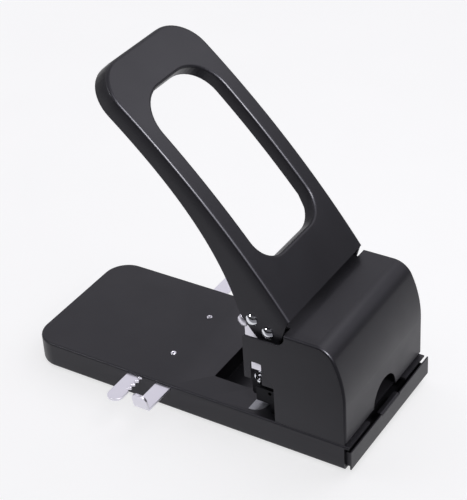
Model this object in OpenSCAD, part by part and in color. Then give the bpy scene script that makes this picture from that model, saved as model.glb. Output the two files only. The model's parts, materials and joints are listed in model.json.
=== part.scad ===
// Heavy-duty two-hole punch: a long windowed lever drives a press bar with two punches
// through paper lying on a low table. X runs across, +Y to the rear, Z up, desk at Z = 0.

/* [Base] */
// Width of the base
base_w = 120; // [112:1:140]
// Length from the table's front end to the outer face of the chip tray's lip
base_len = 281; // [272:1:320]
// Height of the paper table above the desk
table_h = 23; // [22:0.5:28]
// Sheet thickness of the base
base_t = 2; // [1.5:0.1:2.2]
// Corner radius at the table's front end
base_corner_r = 20; // [14:1:30]
// Width of the hem turned in along the bottom of the base
hem_w = 12; // [10:0.5:16]
// Height of the rubber feet below the hem
foot_h = 1; // [0.8:0.1:2]
// Radius of a rubber foot
foot_r = 5; // [4:0.5:5]
// Width of the rectangular well in the table
well_w = 70; // [40:1:90]
// Length of that well
well_len = 32; // [15:1:40]
// Width of the finger notch in the table's rear edge
rear_notch_w = 56; // [30:1:70]

/* [Punches and dies] */
// Distance between the two punched holes
hole_spacing = 80; // [70:1:84]
// Radius of a punched hole
punch_r = 2.75; // [2:0.05:3]
// Distance from the paper's edge to the hole's centre
hole_margin = 12; // [10:0.5:13]
// Running clearance between a punch and its bush, and a punch and its die
punch_fit = 0.05; // [0.02:0.01:0.09]
// Height of the paper gap, from the table up to the guide bushes
paper_gap = 6.8; // [5:0.1:8]
// Height of the guide block
block_h = 12; // [10:0.5:14]
// Width of the die bar
die_bar_w = 11; // [10:0.5:12]
// Wire diameter of a return spring
spring_wire = 1.4; // [1:0.1:1.4]
// Turns of a return spring
spring_turns = 7; // [5:1:7]

/* [Housing] */
// Sheet thickness of the side plates
side_t = 1.5; // [1:0.1:2]
// Length of a side plate, from its front edge to the rear wall
side_len = 81; // [77:0.5:83]
// Height of the side plates' front part above the table
side_h = 69.5; // [66:0.5:72]
// Sheet thickness of the rear cover
cover_t = 1.2; // [0.8:0.1:1.6]
// Length of the cover's top, from its front edge to the rear wall
cover_len = 47.1; // [45:0.1:49]
// Height of the cover's top above the table
cover_h = 80; // [78:0.5:84]
// Radius of the finger notch in the cover's rear wall
finger_r = 17; // [12:0.5:22]
// Thickness of the inner frame plates
frame_t = 2; // [1.5:0.1:2]

/* [Lever] */
// Height of the lever's pivot above the table
pivot_rise = 73.6; // [72:0.2:75]
// Distance from the pivot forward to the rear wall
pivot_forward = 62.7; // [61:0.1:64]
// Length of the lever's broad face
lever_len = 213.5; // [180:0.5:230]
// Tilt of the lever at rest, from the horizontal
lever_tilt = 46.8; // [42:0.2:50]
// Sheet thickness of the lever
lever_t = 2; // [1.5:0.1:2.2]
// Radius of the lever's lengthwise bow
lever_bow_r = 790; // [600:10:1200]
// Corner radius at the lever's top end
lever_corner_r = 28.5; // [15:0.5:35]
// Depth of the lever's skirt at its top end
skirt_d = 14.2; // [13.5:0.1:20]
// Width of the lever's window
window_w = 76.6; // [60:0.2:82]
// Length of the lever's window
window_len = 141; // [100:1:142]
// Corner radius at the top of the window
window_top_r = 27; // [10:1:30]
// Corner radius at the bottom of the window
window_foot_r = 20; // [10:1:28]
// Distance from the lever's bottom edge to the window
window_up = 39; // [36:0.2:44]
// Depth of the rim turned in around the window
rim_d = 10.5; // [8:0.1:12.5]
// Radius of the lever's ear around the pivot
ear_r = 11; // [10.5:0.1:12]
// Radius of the pivot shaft
pivot_r = 4; // [3:0.1:4.5]
// Distance from the pivot to the link rod
crank_len = 14.4; // [14:0.1:16]
// Angle of the link rod above the pivot at rest
crank_angle = 29; // [26:1:30]
// Swing of the lever from rest to fully pressed
lever_swing = 42; // [36:1:44]
// Radius of the link rod
link_r = 3; // [2.5:0.1:3]

/* [Paper guides] */
// Distance from the table's front end to the guide's pinion
guide_forward = 110; // [100:0.5:115]
// Thickness of a guide bar
bar_t = 2; // [1.5:0.1:2.2]
// Width of a guide bar
bar_w = 12.8; // [11:0.1:14]
// Distance from the centre line to a guide's flap as stored
flap_x = 88; // [86:0.5:120]
// Height of a flap above its bar
flap_h = 13; // [10:0.5:18]
// Distance from the centre line to a bar's toothed tail as stored
tail_x = 90.5; // [88:0.5:120]
// Teeth of the pinion
pinion_teeth = 10; // [10:2:12]
// Module of the rack teeth
gear_module = 1.5; // [1.3:0.1:1.6]

/* [Chip tray] */
// Height of the tray's lip
lip_h = 15.4; // [14:0.1:18]
// Thickness of the tray's lip
lip_t = 1.2; // [1:0.1:2]
// Wall thickness of the tray
tray_t = 1; // [0.8:0.1:1.5]
// Length of the tray inside the base
tray_len = 131.5; // [126:0.5:136]
// Width of the finger pull folded in at the lip's top
pull_w = 27; // [20:1:40]

/* [Hidden] */
$fn = 64;

// Colours as the pieces look
black_paint = "#2c2b2f";
zinc = "#d9d7de";
chrome = "#e9e9ee";
bare_steel = "#a6a8ad";
black_oxide = "#3a3a3c";
black_rubber = "#1b1b1c";

// Clearances
slip = 0.3;            // between pieces that slide past each other
bore_fit = 0.05;       // radial, between a shaft and the bore that it turns in
hole_ease = 0.1;       // radial, around a fastener
eps = 0.01;            // overlap that makes a cut clean

// Base, in the part's frame
half_w = base_w / 2;
front_y = -base_len / 2;
lip_y = base_len / 2;
hem_top = foot_h + base_t;
table_under = table_h - base_t;
plate_rear_y = lip_y - 2.5;
flange_rear_y = lip_y - 6.5;
inside_w = half_w - base_t;
foot_x = inside_w - hem_w / 2;
foot_inset = 24;

// Width of the head, from the punches outward
yoke_room = 7.9;       // from a punch's axis to the yoke beside its spring
yoke_t = 2;
ear_gap = 0.4;         // between a frame plate and the lever's ear
ear_room = 3.3;        // between an ear and the side plate, for the rods' heads
cover_lap = 0.6;       // the cover's reach beyond the side plates
punch_x = hole_spacing / 2;
yoke_in = punch_x + yoke_room;
yoke_out = yoke_in + yoke_t;
frame_in = yoke_out + slip;
frame_out = frame_in + frame_t;
ear_in = frame_out + ear_gap;
lever_half_w = ear_in + lever_t;
side_in = lever_half_w + ear_room;
side_out = side_in + side_t;
cover_half_w = side_out + cover_lap;

// Housing
cover_inset = 5.1;     // from the tray lip's outer face to the cover's back
housing_rear_y = lip_y - cover_inset;
side_front_y = housing_rear_y - side_len;
side_top = table_h + side_h;
cover_top = table_h + cover_h;
cover_front_y = housing_rear_y - cover_len;
cover_foot = table_h + 2.5;
cover_small_r = 16.5;
cover_large_r = 87;
cover_bend_drop = 45.7;
cover_bend_z = cover_top - cover_bend_drop;
tongue_len = 8;        // the cover's reach forward between the frame plates
tongue_gap = 0.7;      // between the tongue and a frame plate
tongue_half_w = frame_in - tongue_gap;

// Lever and its axes
pivot_y = housing_rear_y - pivot_forward;
pivot_z = table_h + pivot_rise;
link_y = pivot_y - crank_len * cos(crank_angle);
link_z = pivot_z + crank_len * sin(crank_angle);
press_travel = crank_len * (sin(crank_angle) - sin(crank_angle - lever_swing));
foot_back = 16.9;
foot_up = 14.3;
lever_half = lever_len / 2;
lever_sag = lever_bow_r - sqrt(lever_bow_r * lever_bow_r - lever_half * lever_half);
up_y = -cos(lever_tilt);
up_z = sin(lever_tilt);
mid_y = pivot_y + foot_back + lever_half * up_y + lever_sag * up_z;
mid_z = pivot_z + foot_up + lever_half * up_z - lever_sag * up_y;
pivot_u = (pivot_y - mid_y) * up_y + (pivot_z - mid_z) * up_z;
pivot_d = -(pivot_y - mid_y) * up_z + (pivot_z - mid_z) * up_y;
link_u = (link_y - mid_y) * up_y + (link_z - mid_z) * up_z;
link_d = -(link_y - mid_y) * up_z + (link_z - mid_z) * up_y;
ear_rise = 22.4;
ear_u = pivot_u + ear_rise;
ear_front_d = pivot_d + ear_r - 2;
skirt_run_out = 17;
skirt_top_u = lever_half - skirt_run_out;
skirt_power = 3.5;
bow_facets = 1440;
window_u0 = window_up - lever_half;
head_r = 4.5;
head_h = 2.4;

// Inner frame, yokes and press
punch_y = pivot_y - crank_len * (1 + cos(crank_angle)) / 2;
stop_y = punch_y + hole_margin;
bush_foot = table_h + paper_gap;
block_foot = bush_foot + 1.2;
block_top = block_foot + block_h;
bush_r = 5;
block_wall = 1.5;      // metal left around a bush
block_ahead = bush_r + block_wall;
block_behind = 12.5;
block_front_y = punch_y - block_ahead;
block_rear_y = stop_y + block_behind;
block_step_x = punch_x + bush_r + block_wall;
dimple_r = 1.4;
dimple_d = 2;
dimple_ahead = 0.8;
dimple_drop = 2.8;
bush_flange_r = 7.2;
bush_flange_t = 1.5;
spring_foot = block_top + bush_flange_t;
spring_solid = 12.3;
spring_len = press_travel + spring_solid;
press_foot = spring_foot + spring_len;
press_h = 12;
press_top = press_foot + press_h;
press_half_w = 7.5;
press_front_y = punch_y - press_half_w;
press_rear_y = punch_y + press_half_w;
punch_tip = bush_foot + 0.5;
punch_head_r = 4.5;
punch_head_h = 3;
keeper_t = 2;
keeper_w = 11;
keeper_screw_x = 20;
yoke_front_y = punch_y - 8;
yoke_rear_y = punch_y + 8;
yoke_over_bush = 1.8;  // left above the bushes with the lever down
yoke_foot = spring_foot + press_travel + yoke_over_bush;
yoke_slot_lift = 0.35;
yoke_slot_run = crank_len * (1 - cos(crank_angle)) / 2 + 0.5;
yoke_top = link_z + link_r + yoke_slot_lift + 3.2;
tie_ahead = 22.4;
tie_y = pivot_y - tie_ahead;
tie_z = pivot_z + 0.1;
tie_r = 2.5;
lug_r = 4.6;
yoke_head_h = 2;
yoke_screw_y = punch_y - 2;
yoke_screw_r = 1.5;
yoke_screw_head_r = 2.4;
yoke_screw_head_h = 1.5;
yoke_screw_inset = 3;
yoke_screw_len = yoke_out - punch_x - punch_head_r - 0.5;

// Inner frame plates and side plates
boss_r = crank_len - link_r - 0.9;
frame_front_y = punch_y + 5;
frame_arm_z = block_top + 3;
frame_foot_gap = 11.5;
frame_foot_len = 19;
frame_rear_rise = 43;
frame_foot_y0 = block_rear_y + frame_foot_gap;
frame_foot_y1 = frame_foot_y0 + frame_foot_len;
frame_rear_z = table_h + frame_rear_rise;
frame_foot_w = 12;
frame_foot_t = 2;
frame_screw_x = frame_in - frame_foot_w / 2;
frame_screw_inset = 5;
tab_gap = 1.5;
tab_y = [block_rear_y + tab_gap, frame_foot_y1 + tab_gap];
tab_len = 9;
tab_reach = 5;
tab_in = frame_in - tab_reach;
tab_screw_inset = 4.5;
tab_screw_x = tab_in + tab_screw_inset;
screw_r = 1.5;
screw_head_r = 2.8;
screw_head_h = 1.4;
screw_socket_r = 1.4;
block_screw_grip = 7;
keeper_screw_grip = 4;
keeper_slot_w = 0.8;
tie_rod_r = 3;
tie_rod_in = [5, 6];
tie_rod_rise = [12, 33];
tie_rod_spots = [[frame_foot_y0 + tie_rod_in[0], table_h + tie_rod_rise[0]],
                 [frame_foot_y1 - tie_rod_in[1], table_h + tie_rod_rise[1]]];
tie_rod_head_r = 4.5;
tie_rod_head_h = 1.6;
throat_rise = 32.6;
throat_back = 23.7;
throat_z = table_h + throat_rise;
throat_y = side_front_y + throat_back;
arch_in = 5.9;
arch_w = 11;
arch_rise = 15.4;
arch_r = 5;
arch_cut = 7;
arch_y0 = side_front_y + arch_in;
arch_top = throat_z + arch_rise;
fillet_r = 8;

// Dies and table openings
die_lap = 3;
die_end_gap = 2.5;
die_half_len = inside_w - die_end_gap;
die_end_r = die_bar_w - 1;
die_proud = 0.2;
die_flange_t = 2.5;
die_flange_end = 12;
die_relief_r = punch_r + 0.8;
well_rear_y = punch_y - die_bar_w / 2 - die_lap - 6.7;

// Paper guides
guide_y = front_y + guide_forward;
pitch_r = gear_module * pinion_teeth / 2;
tooth_pitch = PI * gear_module;
pressure_angle = 25;
backlash = 0.16;
rack_rise = 0.73 * gear_module;
rack_root = 0.93 * gear_module;
pinion_tip_r = pitch_r + 0.8 * gear_module;
pinion_root_r = pitch_r - 0.87 * gear_module;
pinion_base_r = pitch_r * cos(pressure_angle);
tooth_half = tooth_pitch / 4 - backlash / 2;
bar_top = table_under - 0.2;
bar_foot = bar_top - bar_t;
bar_near = pitch_r - rack_rise;
bar_far = bar_near + bar_w;
rack_from = -8;
rack_to = 16;
flap_lean = 12;
flap_corner_r = 5.5;
flap_inset = 0.1;
tail_corner_r = 6;
channel_top = bar_foot - slip;
channel_t = 1.5;
channel_half_len = inside_w - 6;
channel_wall = 2;
rib_gap = pinion_tip_r + 4;
rib_half_w = bar_near - 1.4;
rivet_x = 25.7;
rivet_r = 1.6;
rivet_head_r = 2.3;
rivet_head_h = 0.7;
stud_r = 3;

// Chip tray
tray_half_w = inside_w - 0.6;
tray_foot = hem_top + 0.15;
tray_top = table_under - die_flange_t - 2;
tray_rear_y = lip_y - lip_t;
lip_lift = 2.2;        // from the hem's upper face to the lip's lower edge
lip_foot = hem_top + lip_lift;
lip_lap = 1.6;         // the lip's reach beyond the base on each side
lip_half_w = half_w + lip_lap;
pull_d = 3.4;

// Extrudes a Y-Z outline across X
module across(x0, x1) {
    translate([x0, 0, 0])
        rotate([90, 0, 90])
            linear_extrude(x1 - x0)
                children();
}

// Puts its children on the left and right, mirrored
module both_sides() {
    for (side = [0, 1])
        mirror([side, 0, 0])
            children();
}

// A cylinder along X from x0 to x1 through a point of the Y-Z plane
module rod(y, z, r, x0, x1) {
    translate([x0, y, z])
        rotate([0, 90, 0])
            cylinder(r = r, h = x1 - x0);
}

// A domed head along +X, seated at x
module domed_head(y, z, x, r, h) {
    ball_r = (r * r + h * h) / (2 * h);
    translate([x, y, z])
        rotate([0, 90, 0])
            rotate_extrude()
                intersection() {
                    translate([0, h - ball_r])
                        circle(ball_r);
                    square([r, h]);
                }
}

// A rectangle from (x0, y0) to (x1, y1) whose two corners at y1 are round
module end_rounded(x0, y0, x1, y1, r) {
    translate([x0, y0])
        square([x1 - x0, y1 - y0 - r]);
    translate([x0 + r, y0])
        square([x1 - x0 - 2 * r, y1 - y0]);
    intersection() {
        translate([x0, y0])
            square([x1 - x0, y1 - y0]);
        union() {
            translate([x0 + r, y1 - r])
                circle(r);
            translate([x1 - r, y1 - r])
                circle(r);
        }
    }
}

// The base's outline, drawn in by a margin, out to a rear end
module base_outline(margin, rear_y) {
    mirror([0, 1])
        end_rounded(-half_w + margin, -rear_y, half_w - margin, -front_y - margin,
                    base_corner_r - margin);
}

// Base pan
module base_pan() {
    slot_half = bar_w / 2 + 0.4;
    slot_z = table_under - channel_top;
    color(black_paint)
    difference() {
        union() {
            translate([0, 0, foot_h])
                linear_extrude(table_h - foot_h)
                    base_outline(0, flange_rear_y);
            translate([0, 0, table_under])
                linear_extrude(base_t)
                    base_outline(0, plate_rear_y);
        }
        translate([0, 0, hem_top])
            linear_extrude(table_under - hem_top)
                base_outline(base_t, plate_rear_y + 1);
        translate([0, 0, foot_h - 1])
            linear_extrude(base_t + 1 + eps)
                base_outline(base_t + hem_w, plate_rear_y + 1);
        // Slots for the guide bars
        for (side = [-1, 1], end = [-1, 1])
            translate([end * half_w - 5, guide_y + side * (bar_near + bar_w / 2) - slot_half, channel_top])
                cube([10, 2 * slot_half, slot_z]);
        // Well in the table, seat of the die bar and the finger notch at the rear
        translate([-well_w / 2, well_rear_y - well_len, table_under - 1])
            cube([well_w, well_len, base_t + 2]);
        translate([0, punch_y, table_under - 1])
            linear_extrude(base_t + 2)
                die_outline(hole_ease);
        translate([-rear_notch_w / 2, plate_rear_y - 6, table_under - 1])
            cube([rear_notch_w, 10, base_t + 2]);
        // Holes for feet, rivets and screws
        foot_spots()
            cylinder(r = 2.5, h = 10, center = true);
        rivet_spots()
            translate([0, 0, table_h])
                cylinder(r = rivet_r + hole_ease, h = 10, center = true);
        translate([0, 0, table_h])
            all_table_screws()
                cylinder(r = screw_r + hole_ease, h = 10, center = true);
    }
}

// The four places of the rubber feet
module foot_spots() {
    for (x = [-foot_x, foot_x], y = [front_y + foot_inset, flange_rear_y - foot_inset / 2])
        translate([x, y, 0])
            children();
}

// Rubber feet
module rubber_feet() {
    color(black_rubber)
    foot_spots() {
        cylinder(r = foot_r, h = foot_h);
        cylinder(r = 2.5, h = hem_top);
    }
}

// The die bar's outline about the punch line, with round rear corners
module die_outline(margin) {
    end_rounded(-die_half_len - margin, -die_bar_w / 2 - margin, die_half_len + margin,
                die_bar_w / 2 + margin, die_end_r);
}

// Die bar, let into the table from below
module die_bar() {
    color(bare_steel)
    translate([0, punch_y, 0])
    difference() {
        union() {
            translate([0, 0, table_under - die_flange_t])
                linear_extrude(base_t + die_flange_t + die_proud)
                    die_outline(0);
            translate([-punch_x - die_flange_end, -die_bar_w / 2 - die_lap, table_under - die_flange_t])
                cube([2 * (punch_x + die_flange_end), die_bar_w + 2 * die_lap, die_flange_t]);
        }
        for (x = [-punch_x, punch_x])
            translate([x, 0, 0]) {
                cylinder(r = punch_r + punch_fit, h = table_h + 5);
                cylinder(r = die_relief_r, h = table_under + 0.5);
            }
    }
}

// The two rivets that hold the guide channel to the table
module rivet_spots() {
    for (x = [-rivet_x, rivet_x])
        translate([x, guide_y, 0])
            children();
}

// Channel under the table that carries both guide bars
module guide_channel() {
    wall_y = bar_far + slip;
    color(zinc)
    difference() {
        translate([0, guide_y, 0]) {
            translate([-channel_half_len, -wall_y - channel_wall, channel_top - channel_t])
                cube([2 * channel_half_len, 2 * (wall_y + channel_wall), channel_t]);
            for (side = [-1, 1])
                translate([-channel_half_len, side * (wall_y + channel_wall / 2) - channel_wall / 2,
                           channel_top - eps])
                    cube([2 * channel_half_len, channel_wall, table_under - channel_top + eps]);
            for (side = [-1, 1])
                translate([side > 0 ? rib_gap : -channel_half_len, -rib_half_w, channel_top - eps])
                    cube([channel_half_len - rib_gap, 2 * rib_half_w, table_under - channel_top + eps]);
        }
        rivet_spots()
            cylinder(r = rivet_r, h = table_h);
        translate([0, guide_y, 0])
            cylinder(r = stud_r - 1, h = table_h);
    }
}

// Tubular rivets through the table and the channel
module channel_rivets() {
    color(zinc)
    rivet_spots()
        difference() {
            union() {
                translate([0, 0, channel_top - channel_t - rivet_head_h])
                    cylinder(r = rivet_head_r, h = rivet_head_h);
                translate([0, 0, channel_top - channel_t - rivet_head_h])
                    cylinder(r = rivet_r, h = table_h - channel_top + channel_t + 2 * rivet_head_h);
                translate([0, 0, table_h])
                    cylinder(r = rivet_head_r, h = rivet_head_h);
            }
            translate([0, 0, table_h - 1])
                cylinder(r = rivet_r - 0.6, h = 5);
        }
}

// Stud that the pinion turns on
module pinion_stud() {
    color(bare_steel)
    translate([0, guide_y, 0]) {
        translate([0, 0, channel_top - channel_t])
            cylinder(r = stud_r - 1, h = channel_t + eps);
        translate([0, 0, channel_top])
            cylinder(r = stud_r, h = table_under - channel_top);
    }
}

// Half the angle that a pinion tooth takes at a radius
function involute_deg(r) = r <= pinion_base_r ? 0 :
    let (a = acos(pinion_base_r / r)) tan(a) * 180 / PI - a;
function tooth_half_deg(r) =
    tooth_half / pitch_r * 180 / PI + involute_deg(pitch_r) - involute_deg(max(r, pinion_base_r));
flank_steps = 6;
flank_radii = concat([pinion_root_r], [for (i = [0 : flank_steps])
    pinion_base_r + (pinion_tip_r - pinion_base_r) * i / flank_steps]);
function polar(r, a) = [r * cos(a), r * sin(a)];

// Pinion between the two racks, with a tooth pointing at each of them
module guide_pinion() {
    last = len(flank_radii) - 1;
    pitch_deg = 360 / pinion_teeth;
    outline = [for (k = [0 : pinion_teeth - 1], side = [-1, 1], i = [0 : last])
        let (r = flank_radii[side < 0 ? i : last - i])
            polar(r, 90 + k * pitch_deg + side * tooth_half_deg(r))];
    color(bare_steel)
    translate([0, guide_y, bar_foot])
        difference() {
            linear_extrude(bar_t)
                polygon(outline);
            translate([0, 0, -1])
                cylinder(r = stud_r + bore_fit, h = bar_t + 2);
        }
}

// The gap between two rack teeth, open towards -Y past the bar's near edge
module rack_gap() {
    lean = tan(pressure_angle);
    mouth = rack_rise + 1;
    middle_half = tooth_pitch / 2 - tooth_half;
    root_half = middle_half - rack_root * lean;
    mouth_half = middle_half + mouth * lean;
    polygon([[-root_half, rack_root], [root_half, rack_root], [mouth_half, -mouth], [-mouth_half, -mouth]]);
}

// A guide bar as the rear one lies: rack along its front edge, flap at +X, toothed tail at -X
module guide_bar() {
    fold_x = flap_x + 0.8 * bar_t;
    translate([0, guide_y, 0]) {
        translate([0, 0, bar_foot])
            linear_extrude(bar_t)
                difference() {
                    union() {
                        translate([-tail_x + tail_corner_r, bar_near])
                            square([tail_x - tail_corner_r + fold_x, bar_w]);
                        translate([-tail_x, bar_near + tail_corner_r])
                            square([tail_x, bar_w - 2 * tail_corner_r]);
                        for (y = [bar_near + tail_corner_r, bar_far - tail_corner_r])
                            translate([-tail_x + tail_corner_r, y])
                                circle(tail_corner_r);
                    }
                    for (k = [rack_from : rack_to])
                        translate([-k * tooth_pitch, pitch_r])
                            rack_gap();
                }
        translate([flap_x, 0, bar_foot])
            rotate([0, flap_lean, 0])
                across(-bar_t / 2, bar_t / 2)
                    end_rounded(bar_near + flap_inset, bar_t / 2, bar_far - flap_inset, bar_t + flap_h,
                                flap_corner_r);
    }
}

module right_guide_bar() {
    color(zinc)
        guide_bar();
}

module left_guide_bar() {
    color(zinc)
        translate([0, 2 * guide_y, 0])
            rotate(180)
                guide_bar();
}

// Guide block: holds the bushes over the paper gap, and its foot is the paper's back stop
module guide_block() {
    color(black_oxide)
    difference() {
        across(-frame_out, frame_out)
            union() {
                translate([block_front_y, block_foot])
                    square([block_rear_y - block_front_y, block_h]);
                translate([stop_y, table_h])
                    square([block_rear_y - stop_y, block_h]);
            }
        // Lead-in for the paper along the front edge
        across(-frame_out - 1, frame_out + 1)
            polygon([[block_front_y - 1, block_foot - 1], [block_front_y + 2, block_foot - 1],
                     [block_front_y - 1, block_foot + 3]]);
        for (x = [-punch_x, punch_x])
            translate([x, punch_y, table_h])
                cylinder(r = bush_r, h = block_top);
        block_screw_spots()
            cylinder(r = screw_r, h = 8);
        // Each end steps back to the punches' axis
        both_sides()
            translate([block_step_x, block_front_y - 1, block_foot - 1])
                cube([frame_out - block_step_x + 1, punch_y - block_front_y + 1, block_h + 2]);
        // Blind dimple in each end
        both_sides()
            rod(stop_y - dimple_ahead, block_top - dimple_drop, dimple_r, frame_out - dimple_d, frame_out + 1);
    }
}

// Guide bushes
module guide_bushes() {
    color(chrome)
    for (x = [-punch_x, punch_x])
        translate([x, punch_y, bush_foot])
            difference() {
                union() {
                    cylinder(r = bush_r, h = block_top - bush_foot + bush_flange_t);
                    translate([0, 0, block_top - bush_foot])
                        cylinder(r = bush_flange_r, h = bush_flange_t);
                }
                translate([0, 0, -1])
                    cylinder(r = punch_r + punch_fit, h = block_h + 10);
            }
}

// Places of the screws that come up through the table
module block_screw_spots() {
    for (x = [-hole_spacing / 4, hole_spacing / 4])
        translate([x, (stop_y + block_rear_y) / 2, table_h])
            children();
}

module frame_screw_spots() {
    for (x = [-frame_screw_x, frame_screw_x],
         y = [frame_foot_y0 + frame_screw_inset, frame_foot_y1 - frame_screw_inset])
        translate([x, y, table_h])
            children();
}

module tab_screw_spots() {
    for (x = [-tab_screw_x, tab_screw_x], y = tab_y)
        translate([x, y + tab_len / 2, table_h])
            children();
}

module all_table_screws() {
    translate([0, 0, -table_h]) {
        block_screw_spots()
            children();
        frame_screw_spots()
            children();
        tab_screw_spots()
            children();
    }
}

// A socket-head screw from under the table, gripping a piece of the given thickness above it
module table_screw(grip) {
    translate([0, 0, -base_t - screw_head_h]) {
        difference() {
            cylinder(r = screw_head_r, h = screw_head_h);
            translate([0, 0, -1])
                cylinder(r = screw_socket_r, h = 1 + screw_head_h / 2, $fn = 6);
        }
        translate([0, 0, screw_head_h])
            cylinder(r = screw_r, h = base_t + grip);
    }
}

module block_screws() {
    color(bare_steel)
        block_screw_spots()
            table_screw(block_screw_grip);
}

module frame_screws() {
    color(bare_steel)
        frame_screw_spots()
            table_screw(frame_foot_t);
}

module side_plate_screws() {
    color(bare_steel)
        tab_screw_spots()
            table_screw(side_t);
}

// Points along a return spring: closed end turns and an open middle
spring_r = bush_flange_r - spring_wire / 2 - 0.6;
spring_seat_gap = 0.15;
closed_pitch = spring_wire + 0.5;
spring_rise = spring_len - spring_wire - 2 * spring_seat_gap;
open_pitch = (spring_rise - 2 * closed_pitch) / (spring_turns - 2);
curl_rings = 8;
tube_sides = 6;
function spring_height(turn) =
    turn < 1 ? turn * closed_pitch :
    turn > spring_turns - 1 ? spring_rise - (spring_turns - turn) * closed_pitch :
    closed_pitch + (turn - 1) * open_pitch;
function spring_point(turn) =
    [spring_r * cos(360 * turn), spring_r * sin(360 * turn),
     spring_foot + spring_seat_gap + spring_wire / 2 + spring_height(turn)];
function unit(v) = v / norm(v);
spring_rings = [for (i = [0 : spring_turns * curl_rings]) i / curl_rings];
spring_path = [for (turn = spring_rings) spring_point(turn)];
function spring_ring(turn) =
    let (out = [cos(360 * turn), sin(360 * turn), 0],
         along = unit(spring_point(turn + 0.01) - spring_point(turn - 0.01)),
         side = cross(along, out))
    [for (k = [0 : tube_sides - 1])
        spring_point(turn) + spring_wire / 2 * (cos(360 * k / tube_sides) * out
                                                + sin(360 * k / tube_sides) * side)];
spring_gaps = [for (i = [0 : len(spring_path) - 1], j = [i + curl_rings / 2 : 1 : len(spring_path) - 1])
    norm(spring_path[i] - spring_path[j]) - spring_wire];
spring_least_gap = min(spring_gaps);
echo(spring_least_gap = spring_least_gap);

// A tube through rings of points, closed at both ends, all faces triangles
module ringed_tube(rings) {
    sides = len(rings[0]);
    last = len(rings) - 1;
    points = [for (ring = rings) each ring];
    walls = [for (i = [0 : last - 1], k = [0 : sides - 1])
        let (a = i * sides + k, b = i * sides + (k + 1) % sides)
            each [[a, a + sides, b], [b, a + sides, b + sides]]];
    start = [for (k = [1 : sides - 2]) [0, k, k + 1]];
    end = [for (k = [1 : sides - 2]) [last * sides, last * sides + k + 1, last * sides + k]];
    polyhedron(points, concat(walls, start, end));
}

// Return springs around the punches
module return_springs() {
    color(black_oxide)
    for (x = [-punch_x, punch_x])
        translate([x, punch_y, 0])
            ringed_tube([for (turn = spring_rings) spring_ring(turn)]);
}

// Outline of a side plate in the Y-Z plane
module side_outline() {
    rear_y = housing_rear_y - cover_t;
    difference() {
        union() {
            translate([throat_y, table_h])
                square([rear_y - throat_y, throat_z - table_h + eps]);
            translate([side_front_y, throat_z])
                square([rear_y - side_front_y, side_top - throat_z]);
            translate([cover_front_y - fillet_r, side_top - eps])
                square([rear_y - cover_front_y + fillet_r, cover_top - cover_t - side_top + eps]);
        }
        translate([cover_front_y - fillet_r, side_top + fillet_r])
            circle(fillet_r);
        translate([cover_front_y - fillet_r - 1, side_top + fillet_r])
            square([fillet_r + 1, cover_h]);
        translate([side_front_y - 1, side_top])
            square([cover_front_y - fillet_r - side_front_y + 1, cover_h]);
        // Arch above the throat, with its lower rear corner cut off
        difference() {
            polygon([[arch_y0, throat_z - 1], [throat_y, throat_z - 1], [throat_y, throat_z],
                     [arch_y0 + arch_w, throat_z + arch_cut], [arch_y0 + arch_w, arch_top],
                     [arch_y0, arch_top]]);
            translate([arch_y0 + arch_w - arch_r, arch_top - arch_r])
                difference() {
                    square(arch_r + 1);
                    circle(arch_r);
                }
        }
        cover_outside(cover_t);
    }
}

// Everything above and behind the cover's profile, drawn in by a margin
module cover_outside(margin) {
    big = 200;
    large_y = housing_rear_y - cover_large_r;
    small_r = cover_small_r - margin;
    large_r = cover_large_r - margin;
    span = cover_large_r - cover_small_r;
    small_z = cover_top - cover_small_r;
    small_y = large_y + sqrt(span * span - (small_z - cover_bend_z) * (small_z - cover_bend_z));
    difference() {
        translate([large_y, cover_bend_z])
            square([big, big]);
        translate([large_y - 1, cover_bend_z - 1])
            square([small_y - large_y + 1, cover_top - margin - cover_bend_z + 1]);
        translate([small_y, small_z])
            circle(small_r);
        intersection() {
            translate([large_y, cover_bend_z])
                circle(large_r);
            polygon([[large_y, cover_bend_z], [large_y + big, cover_bend_z],
                     [large_y + big * (small_y - large_y) / (small_z - cover_bend_z), cover_bend_z + big],
                     [small_y, small_z]]);
        }
    }
}

// A side plate on the +X side, with two tabs turned in along its foot
module side_plate() {
    difference() {
        union() {
            across(side_in, side_out)
                side_outline();
            for (y = tab_y)
                translate([tab_in, y, table_h])
                    cube([side_in - tab_in + eps, tab_len, side_t]);
        }
        tab_screw_spots()
            cylinder(r = screw_r, h = 10, center = true);
    }
}

module right_side_plate() {
    color(black_paint)
        side_plate();
}

module left_side_plate() {
    color(black_paint)
        mirror([1, 0, 0])
            side_plate();
}

// Rear cover: one sheet from a tongue under the lever's foot, round the back and down to the table
module rear_cover() {
    color(black_paint)
    difference() {
        union() {
            translate([-tongue_half_w, cover_front_y - tongue_len, cover_top - cover_t])
                cube([2 * tongue_half_w, tongue_len + eps, cover_t]);
            cover_sheet();
        }
        translate([0, housing_rear_y + 1, cover_foot])
            rotate([90, 0, 0])
                cylinder(r = finger_r, h = cover_t + 2);
    }
}

// The cover's bent sheet, full width
module cover_sheet() {
    across(-cover_half_w, cover_half_w)
        difference() {
            translate([cover_front_y, cover_foot])
                square([housing_rear_y - cover_front_y, cover_top - cover_foot]);
            cover_outside(0);
            difference() {
                translate([cover_front_y - 1, cover_foot - 1])
                    square([housing_rear_y - cover_t - cover_front_y + 1,
                            cover_top - cover_t - cover_foot + 1]);
                cover_outside(cover_t);
            }
        }
}

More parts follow.
